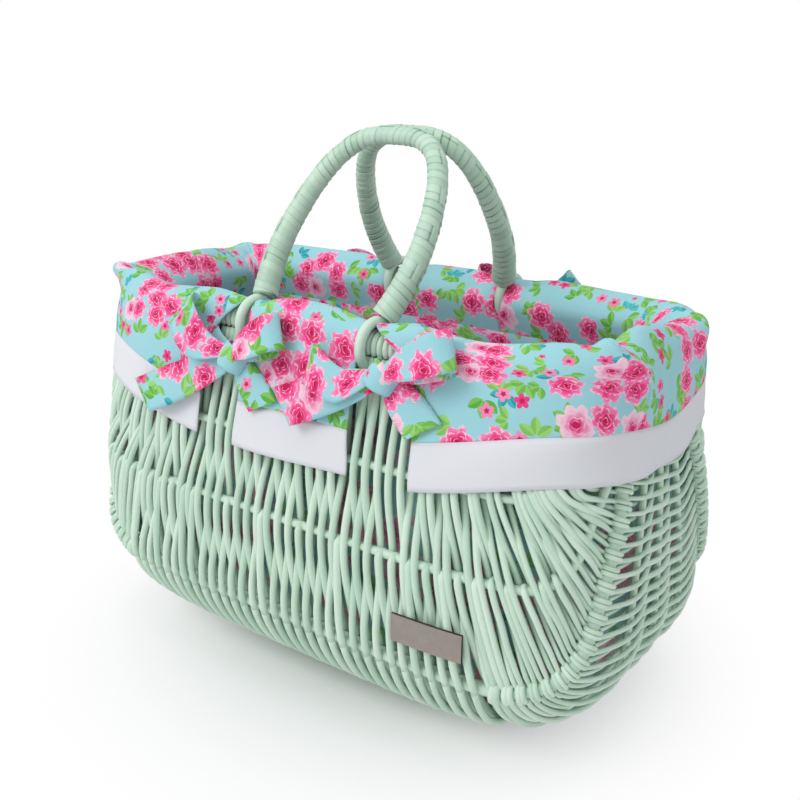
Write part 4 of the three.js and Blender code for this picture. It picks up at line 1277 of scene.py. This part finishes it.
class SkirtShape:
    """What moves the section of a skirt along the rim: edges, corner seams and soft waves."""

    def __init__(self, share, ends, seed):
        self.outer = outer = ends[0] + (ends[1] - ends[0]) * share
        self.run = run = outer * RIM_REACH
        self.seed = seed
        from_edge = np.minimum(share, 1 - share) * abs(ends[1] - ends[0]) * RIM_REACH
        self.edge = smooth(from_edge, 0, EDGE_EASE)
        self.turned = turned = folded(outer) - SEAM
        self.peak = hump(turned * CORNER_REACH, PEAK_WIDTH)
        self.groove = hump(turned * CORNER_REACH, GROOVE_WIDTH)
        left_corner = outer - 2 * math.pi + SEAM
        self.leaning, self.flare = hump(left_corner, 0.5), hump(left_corner, 0.2)
        self.pull = np.sign(np.sin(2 * outer)) * hump(turned, 0.42) * (0.45 + 0.55 * self.leaning)
        near_start, near_end = [np.exp(-part * np.ptp(run) / SLIT_EASE) for part in (share, 1 - share)]
        self.closing = FOOT_GAP * SLIT_CLOSING * (near_end - near_start)
        self.full = self.wave(7, 2.0, 0.045) * self.edge
        self.lift = hem_rise(outer)

    def wave(self, shift, size, scale, along=0.0):
        return ripple(self.run, self.run * 0 + along, self.seed + shift, size, scale)

    def puff(self):
        """How far the turn of the cloth stands above the rim."""
        rear = smooth(-np.cos(self.outer), -0.3, 0.3)
        dip, spike = hump(self.turned + 0.42, 0.17), hump(self.turned * CORNER_REACH, SPIKE_WIDTH)
        valley = hump(self.turned - 0.17, 0.09) * (1 - self.leaning)
        top = (PUFF - 5.0 * rear) * (0.74 + 0.26 * self.edge) + self.wave(0, 1.4, 0.05) * self.edge
        top = np.maximum(top - (5.0 - 3.0 * rear) * dip - 2.0 * self.peak, LEAST_PUFF)
        top = top + (8.5 - 6.0 * rear - 3.0 * self.leaning) * spike - self.groove
        return top - 4.0 * self.flare - (5.0 - 3.5 * rear) * valley

    def knots(self, inner):
        """Depth and level of the six knots, from inside the basket over the rim to the hem seam."""
        edge, peak, flare, full, groove = self.edge, self.peak, self.flare, self.full, self.groove
        zero = 0 * self.run
        return (
            (lining_depth(1.0, inner) - 0.7, LINING_TOP - 4 + zero),
            (29.5 + 0.4 * self.wave(3, 3.0, 0.04) - 3.0 * peak, RIM_LEVEL - 1.5 + zero),
            (11.5 - 9.0 * peak - 6.0 * flare, RIM_LEVEL + self.puff()),
            (-2.5 - 1.5 * edge - full - 6.0 * peak - 5.0 * flare + 1.4 * groove, RIM_LEVEL + 5 + 4 * edge),
            (-4.0 - 1.5 * edge - 0.6 * full - 2.0 * peak - 2.0 * flare + 1.4 * groove,
             SKIRT_LEVEL + 0.5 * self.lift),
            (-3.2 - 0.3 * full + 0.6 * groove, HEM_TOP + self.lift),
        )

    def hem(self, w):
        """Depth and level at a share of the hem's height, from its seam down."""
        wave = self.wave(11, 1.7, 0.05, 40 * w) * (0.5 + w)
        return -3.2 + 0.8 * w - 0.3 * self.full - wave, HEM_TOP + self.lift - (HEM_TOP - HEM_BOTTOM) * w


print("rows in a skirt and its hem:", SKIRT_ROWS, HEM_ROWS)

# %% Skirt sheets
SLIT_OPENS, SLIT_CLOSES = (2.0, 3.9), (0.6, 0.95)


def skirt_shares(ends, columns):
    """Columns of a skirt as shares of its width, with extra ones at the corner seams."""
    turns = [turn + k * math.pi for turn in (SEAM, -SEAM) for k in range(3)]
    seams = [turn for turn in turns if ends[0] < turn < ends[1]]
    close = [(seam - ends[0] + k * 0.004) / (ends[1] - ends[0]) for seam in seams for k in range(-4, 5)]
    return np.unique(np.concatenate([np.linspace(0, 1, columns), close]))


def through_knots(knots):
    """Rows of a smooth section through its knots, with the place of each row along it."""
    rows = []
    for k in range(len(knots) - 1):
        before, here, ahead = knots[max(0, k - 1)], knots[k], knots[k + 1]
        after = knots[min(len(knots) - 1, k + 2)]
        for w in np.linspace(0, 1, PROFILE_STEPS[k], endpoint=False):
            pair = []
            for m in (0, 1):
                slope_a, slope_b = (ahead[m] - before[m]) / 2, (after[m] - here[m]) / 2
                pair.append((1 + 2 * w) * (1 - w) ** 2 * here[m] + w * (1 - w) ** 2 * slope_a
                            + w * w * (3 - 2 * w) * ahead[m] + w * w * (w - 1) * slope_b)
            rows.append((*pair, k + w))
    return rows + [(*knots[-1], len(knots) - 1.0)]


def skirt_sheet(ends, feet, columns, seed):
    """Cloth from inside the basket over the rim to the hem's foot, and its texture coordinates."""
    share = skirt_shares(ends, columns)
    shape = SkirtShape(share, ends, seed)
    inner = feet[0] + (feet[1] - feet[0]) * share
    knots = shape.knots(inner)
    rows = through_knots(knots)
    rows += [(*shape.hem(w), len(knots) - 1 + w) for w in np.linspace(0, 1, HEM_ROWS)[1:]]
    grid, along = [], []
    for depth, level, place in rows:
        opened = inner + (shape.outer - inner) * smooth(place, *SLIT_OPENS)
        closed = shape.closing * (1 - smooth(place, *SLIT_CLOSES))
        angle = opened - shape.pull * seam_lean(place) + closed
        grid.append(ring_point(angle, level, depth))
        along.append(np.interp(angle, skirt_turn, skirt_run))
    grid, along = np.stack(grid, 1), np.stack(along, 1)
    down = np.linalg.norm(np.diff(grid, axis=1), axis=2).cumsum(1)
    down = np.pad(down, ((0, 0), (1, 0))) - down[:, RIM_ROW - 1:RIM_ROW]
    return grid, np.stack([along, down], -1)


def between_slits(first, second, first_turns, second_turns):
    """The stretch from the end of one slit to the start of the next, each some half turns on."""
    return first[1] + first_turns * math.pi, second[0] + second_turns * math.pi


for name, first, second, columns, seed in (
    ("front", ("left", 0), ("right", 0), 44, 31), ("right", ("right", 0), ("left", 1), 150, 32),
    ("rear", ("left", 1), ("right", 1), 44, 33), ("left", ("right", 1), ("left", 2), 150, 34),
):
    turns = (first[1], second[1])
    ends = between_slits(slits[first[0]], slits[second[0]], *turns)
    feet = between_slits(feet_of[first[0]], feet_of[second[0]], *turns)
    sheet, spots = skirt_sheet(ends, feet, columns, seed)
    skirt, hem = sheet[:, :SKIRT_ROWS], sheet[:, SKIRT_ROWS - 1:]
    shift = (seed * 53, seed * 76 + 30)
    cloth(f"{name}_hem_band", hem, COTTON, "hem_cotton", f"{name}_hem",
          grid_spots(hem) + shift, "hung", f"{name}_weavers")
    cloth(f"{name}_skirt_cloth", skirt, PRINT, "lining_cloth", f"{name}_skirt",
          spots[:, :SKIRT_ROWS] + shift, "draped", "rim_binding")
print("pieces with the skirts and hems:", len(made))

# %% [markdown]
# ## Bows
# Each bow is tied from two ribbons of the lining cloth. The under tie makes one loop and one
# tail. The other makes the knot, a loop and a tail. A ribbon is narrow at the knot and opens out,
# and it stands a little off the skirt. Curves with a flat section would twist at the tight
# turns. A grid across a smooth line keeps the ribbon's width facing the wall. The loops lie low
# enough for a handle to swing out over them.

# %% Ribbons
RIBBON_THICK, RIBBON_WIDTH, LOOP_FEET = 1.0, 28.0, 12


def wall_axes(x, level):
    """A place on the front wall, and its directions along the bag, up the wall and outwards."""
    place = ring_point(np.array([angle_at(x, level)]), np.array([level]), 0.0)[0]
    out = outward(place[None])[0]
    along = unit(np.cross((0, 0, 1.0), out))
    along = along * np.sign(along[0])
    up = unit(np.cross(out, along))
    return place, along, up * np.sign(up[2]), out


def spline(points, count):
    """Smooth line through a few control points."""
    p = np.asarray(points, float)
    t = np.concatenate([[0], np.cumsum(np.linalg.norm(np.diff(p[:, :3], axis=0), axis=1))])
    at = np.linspace(0, t[-1], count)
    slope = np.gradient(p, t, axis=0)
    i = np.clip(np.searchsorted(t, at, side="right") - 1, 0, len(t) - 2)
    h = (t[i + 1] - t[i])[:, None]
    s = ((at - t[i])[:, None]) / h
    return ((1 + 2 * s) * (1 - s) ** 2 * p[i] + s * (1 - s) ** 2 * h * slope[i]
            + s ** 2 * (3 - 2 * s) * p[i + 1] + s ** 2 * (s - 1) * h * slope[i + 1])


def ribbon_way(controls):
    """Direction of a ribbon on the wall: from end to end, or to its far turn if it comes back."""
    span = np.array([controls[-1][k] - controls[0][k] for k in (0, 1)], float)
    if np.hypot(*span) > LOOP_FEET:
        return unit(span)
    return unit(np.array(controls[len(controls) // 2][:2], float))


def ribbon_grid(axes, controls, lean=0.0, slant=0.0, curl=1.5, count=26, across=9):
    """Ribbon through controls (along the bag, up the wall, out, width)."""
    place, along, up, out = axes
    line = spline(controls, count)
    centre = place + line[:, :1] * along + line[:, 1:2] * up + line[:, 2:3] * out
    tangent = unit(np.gradient(centre, axis=0))
    way = ribbon_way(controls)
    side = unit(-way[1] * along + way[0] * up + lean * out)
    face = unit(np.cross(tangent, side))
    end = np.linspace(0, 1, count) ** 8
    grid = np.empty((across, count, 3))
    for k, share in enumerate(np.linspace(-0.5, 0.5, across)):
        offset = side * (share * line[:, 3])[:, None]
        crown = curl * (1 - 4 * share ** 2) * np.sin(np.linspace(0, math.pi, count))
        grid[k] = centre + offset + face * crown[:, None] + tangent * (slant * share * end)[:, None]
    return grid


def loop_controls(dx, dz, out, spread, width, droop=0.0):
    """A loop: out near the wall, round its far end, and back above itself."""
    return [
        (dx * 0.08, dz * 0.08, out, 9), (dx * 0.45, dz * 0.45 - droop, out, width * 0.85),
        (dx * 0.93, dz * 0.93, out + spread * 0.1, width), (dx, dz, out + spread * 0.5, width),
        (dx * 0.93, dz * 0.93, out + spread * 0.92, width),
        (dx * 0.45, dz * 0.45 - droop, out + spread, width * 0.8),
        (dx * 0.1, dz * 0.1, out + spread * 0.55, 9),
    ]


def tail_controls(dx, dz, out, width):
    """A tail that opens out from the knot to its slanting end."""
    return [
        (0, 0, out, 9), (dx * 0.3, dz * 0.3, out + 2, width * 0.8),
        (dx * 0.65, dz * 0.65, out + 1, width), (dx, dz, out + 1.5, width),
    ]


print("controls of a loop and a tail:", len(loop_controls(1, 1, 1, 1, 1)), len(tail_controls(1, 1, 1, 1)))

# %% Bows
KNOT = ((-9, 4, 5, 15), (-8, 3, 12, 17), (0, 0, 16.0, 18), (8, -3, 12, 17), (9, -4, 5, 15))


def tie(node, grids, seed):
    """One tie of a bow as a piece, from the grids of its knot, loop and tail."""
    verts, faces, spots, length, base = [], [], [], 0.0, 0
    for k, grid in enumerate(grids):
        columns, rows = grid.shape[:2]
        verts.append(grid.reshape(-1, 3))
        faces.append(base + grid_faces(columns, rows))
        spots.append((grid_spots(grid) + (seed * 71 + k * 47, seed * 33 + k * 29)).reshape(-1, 2))
        base += columns * rows
        length += grid_lengths(grid)[1][-1]
    verts, faces, spots = [np.concatenate(rows) for rows in (verts, faces, spots)]
    piece = add_piece(f"{node}_cloth", verts, faces, PRINT, [node], uv=spots)
    thicken(piece, RIBBON_THICK)


def bow(side, end, x, level, under_loop, under_tail, over_loop, over_tail, seed):
    axes = wall_axes(x, level)
    if side == "rear":
        axes = [mirror(mirror(v, 0), 1) for v in axes]
    under = [
        ribbon_grid(axes, under_loop, lean=0.15, curl=0.5, count=40),
        ribbon_grid(axes, under_tail, slant=9),
    ]
    over = [
        ribbon_grid(axes, KNOT, curl=2.0, count=22),
        ribbon_grid(axes, over_loop, lean=-0.1, curl=0.5, count=40),
        ribbon_grid(axes, over_tail, slant=-9),
    ]
    tie(f"{side}_{end}_bow_under_tie", under, seed)
    tie(f"{side}_{end}_bow_knotted_tie", over, seed)


for side in ("front", "rear"):
    swap = side == "rear"
    left = dict(
        x=-47.0, level=238.5,
        under_loop=loop_controls(-54, 26 + 6 * swap, 5, 12, 27, 9),
        under_tail=tail_controls(30, -28, 4, 24),
        over_loop=loop_controls(42, 24, 9, 13, 26),
        over_tail=tail_controls(-84, -42, 6, 28),
    )
    right = dict(
        x=77.0, level=247.0,
        under_loop=loop_controls(-59, -2, 5, 10, 27, 10),
        under_tail=tail_controls(34, -27, 4, 26),
        over_loop=loop_controls(50, 24 - 16 * swap, 9, 13, 27),
        over_tail=tail_controls(-75, -33, 7, 28),
    )
    bow(side, "right" if swap else "left", seed=41 + swap * 4, **left)
    bow(side, "left" if swap else "right", seed=43 + swap * 4, **right)
print("pieces with the bows:", len(made))

# %% [markdown]
# ## Leather tag
# A small bare piece of leather with dark cut edges is fixed low on the right of the front. A thin
# box would cut into the curved wall, so the tag is a grid of points that follows the wall, with a
# back, a face and an edge of its own that carries the dark tone.

# %% Tag
TAG_X, TAG_LEVEL, TAG_SIZE = 124.0, 95.0, (51.0, 19.0)
TAG_BACK, TAG_FACE = 0.6, 2.6
columns, rows = 25, 11
tag_out = wall_axes(TAG_X, TAG_LEVEL)[3]
places = np.linspace(TAG_X - TAG_SIZE[0] / 2, TAG_X + TAG_SIZE[0] / 2, columns)
levels = np.linspace(TAG_LEVEL - TAG_SIZE[1] / 2, TAG_LEVEL + TAG_SIZE[1] / 2, rows)
angles = np.array([angle_at(place, level) for place in places for level in levels])
wall = ring_point(angles, np.tile(levels, columns), 0.0)
back, face = wall + tag_out * TAG_BACK, wall + tag_out * TAG_FACE
quads = grid_faces(columns, rows)
lower, upper = np.arange(columns) * rows, np.arange(columns) * rows + rows - 1
first, last = np.arange(rows), (columns - 1) * rows + np.arange(rows)
edge = np.concatenate([lower, last[1:], upper[-2::-1], first[-2:0:-1]])
here = 2 * len(wall) + 2 * np.arange(len(edge))
ahead = np.roll(here, -1)
band = np.stack([back[edge], face[edge]], 1).reshape(-1, 3)
verts = np.concatenate([back, face, band])
faces = np.concatenate([quads[:, ::-1], quads + len(wall), np.stack([here, ahead, ahead + 1, here + 1], 1)])
tone = np.repeat([0.0, 1.0], [2 * len(wall), len(band)])
add_piece("leather_tag_bare", verts, faces, LEATHER, ["leather_tag"], tone=tone)
print("tag, mm:", *TAG_SIZE, "pieces in all:", len(made))

# %% [markdown]
# ## Studio
# The bag stands on a pale floor in soft light from large panels, with a white background behind.
# A lit white wall would need strong lamps, which bleach the bag. Instead, the floor and the world
# are plain to the light that falls on the bag and turn white only where a ray from the camera, or
# its reflection, ends on them. The floor keeps the shadow near the bag.

# %% Floor and light
FLOOR_SIZE, SHADOW_EDGE, WHITE_EDGE = 6.0, 0.05, 0.30


def studio_floor():
    """A pale floor that keeps the shadow near the bag and goes over to white further out."""
    g = Graph("studio_floor")
    place = g.node("ShaderNodeTexCoord").outputs["Object"]
    far = g.step(g.vector("LENGTH", place)["Value"], SHADOW_EDGE, WHITE_EDGE)
    ray = g.node("ShaderNodeLightPath").outputs
    mirrored = g.math("MAXIMUM", ray["Is Glossy Ray"], ray["Is Transmission Ray"])
    seen = g.math("MAXIMUM", ray["Is Camera Ray"], mirrored)
    glow = g.node("ShaderNodeEmission", {"Color": (1, 1, 1, 1), "Strength": 1.0}).outputs[0]
    pale = g.finish(Base_Color=(0.9, 0.9, 0.9, 1), Roughness=0.9)
    shaders = {0: g.math("MULTIPLY", seen, far), 1: g.bsdf.outputs[0], 2: glow}
    g.put(g.out.inputs[0], g.node("ShaderNodeMixShader", shaders).outputs[0])
    mesh = bpy.data.meshes.new("studio_floor")
    corners = [(x * FLOOR_SIZE, y * FLOOR_SIZE, 0) for x, y in ((-1, -1), (1, -1), (1, 1), (-1, 1))]
    mesh.from_pydata(corners, [], [(0, 1, 2, 3)])
    mesh.materials.append(pale)
    floor = bpy.data.objects.new("studio_floor", mesh)
    bpy.context.scene.collection.objects.link(floor)


def panel_light(name, position, target, size, power):
    data = bpy.data.lights.new(name, "AREA")
    data.shape = "SQUARE"
    data.size = size
    data.energy = power
    lamp = bpy.data.objects.new(name, data)
    bpy.context.scene.collection.objects.link(lamp)
    lamp.location = position
    lamp.rotation_euler = (Vector(target) - Vector(position)).to_track_quat("-Z", "Y").to_euler()


def studio_world():
    """Soft light all round, and plain white where the camera looks past the floor."""
    world = bpy.data.worlds.new("studio_white")
    bpy.context.scene.world = world
    world.use_nodes = True
    nodes, links = world.node_tree.nodes, world.node_tree.links
    nodes.clear()
    ray, seen = nodes.new("ShaderNodeLightPath"), nodes.new("ShaderNodeMath")
    seen.operation = "MAXIMUM"
    links.new(ray.outputs["Is Camera Ray"], seen.inputs[0])
    links.new(ray.outputs["Is Transmission Ray"], seen.inputs[1])
    pick, sky = nodes.new("ShaderNodeMixShader"), nodes.new("ShaderNodeOutputWorld")
    links.new(seen.outputs[0], pick.inputs[0])
    for k, (colour, strength) in enumerate((((0.95, 0.97, 1.0, 1), 0.55), ((1, 1, 1, 1), 1.0))):
        light = nodes.new("ShaderNodeBackground")
        light.inputs["Color"].default_value = colour
        light.inputs["Strength"].default_value = strength
        links.new(light.outputs[0], pick.inputs[1 + k])
    links.new(pick.outputs[0], sky.inputs[0])


studio_floor()
studio_world()
panel_light("key_panel", (-0.9, -1.6, 1.7), (0, 0, 0.15), 1.4, 26)
panel_light("fill_panel", (1.8, -0.9, 1.0), (0, 0, 0.15), 1.6, 2.6)
panel_light("top_panel", (0.1, 0.3, 2.2), (0, 0, 0.2), 1.8, 12)
print("lamps:", len(bpy.data.lights))

# %% [markdown]
# ## Camera
# The camera stands to the right of the front and a little above, as in the photograph. Its place,
# its angles and its lens were fitted to the outline of the bag, so that the render and the
# photograph can be laid over each other.

# %% Camera
CAMERA_PLACE = (0.4481, -0.5943, 0.4446)
AZIMUTH, ELEVATION = math.radians(36.38), math.radians(18.90)
lens = bpy.data.cameras.new("studio_camera")
lens.sensor_width = 36.0
lens.lens = 47.4
camera = bpy.data.objects.new("studio_camera", lens)
bpy.context.scene.collection.objects.link(camera)
camera.location = CAMERA_PLACE
camera.rotation_euler = (math.pi / 2 - ELEVATION, 0, AZIMUTH)
bpy.context.scene.camera = camera
bpy.context.scene.view_settings.view_transform = "Standard"
print("camera, mm:", [round(v / MM) for v in CAMERA_PLACE])
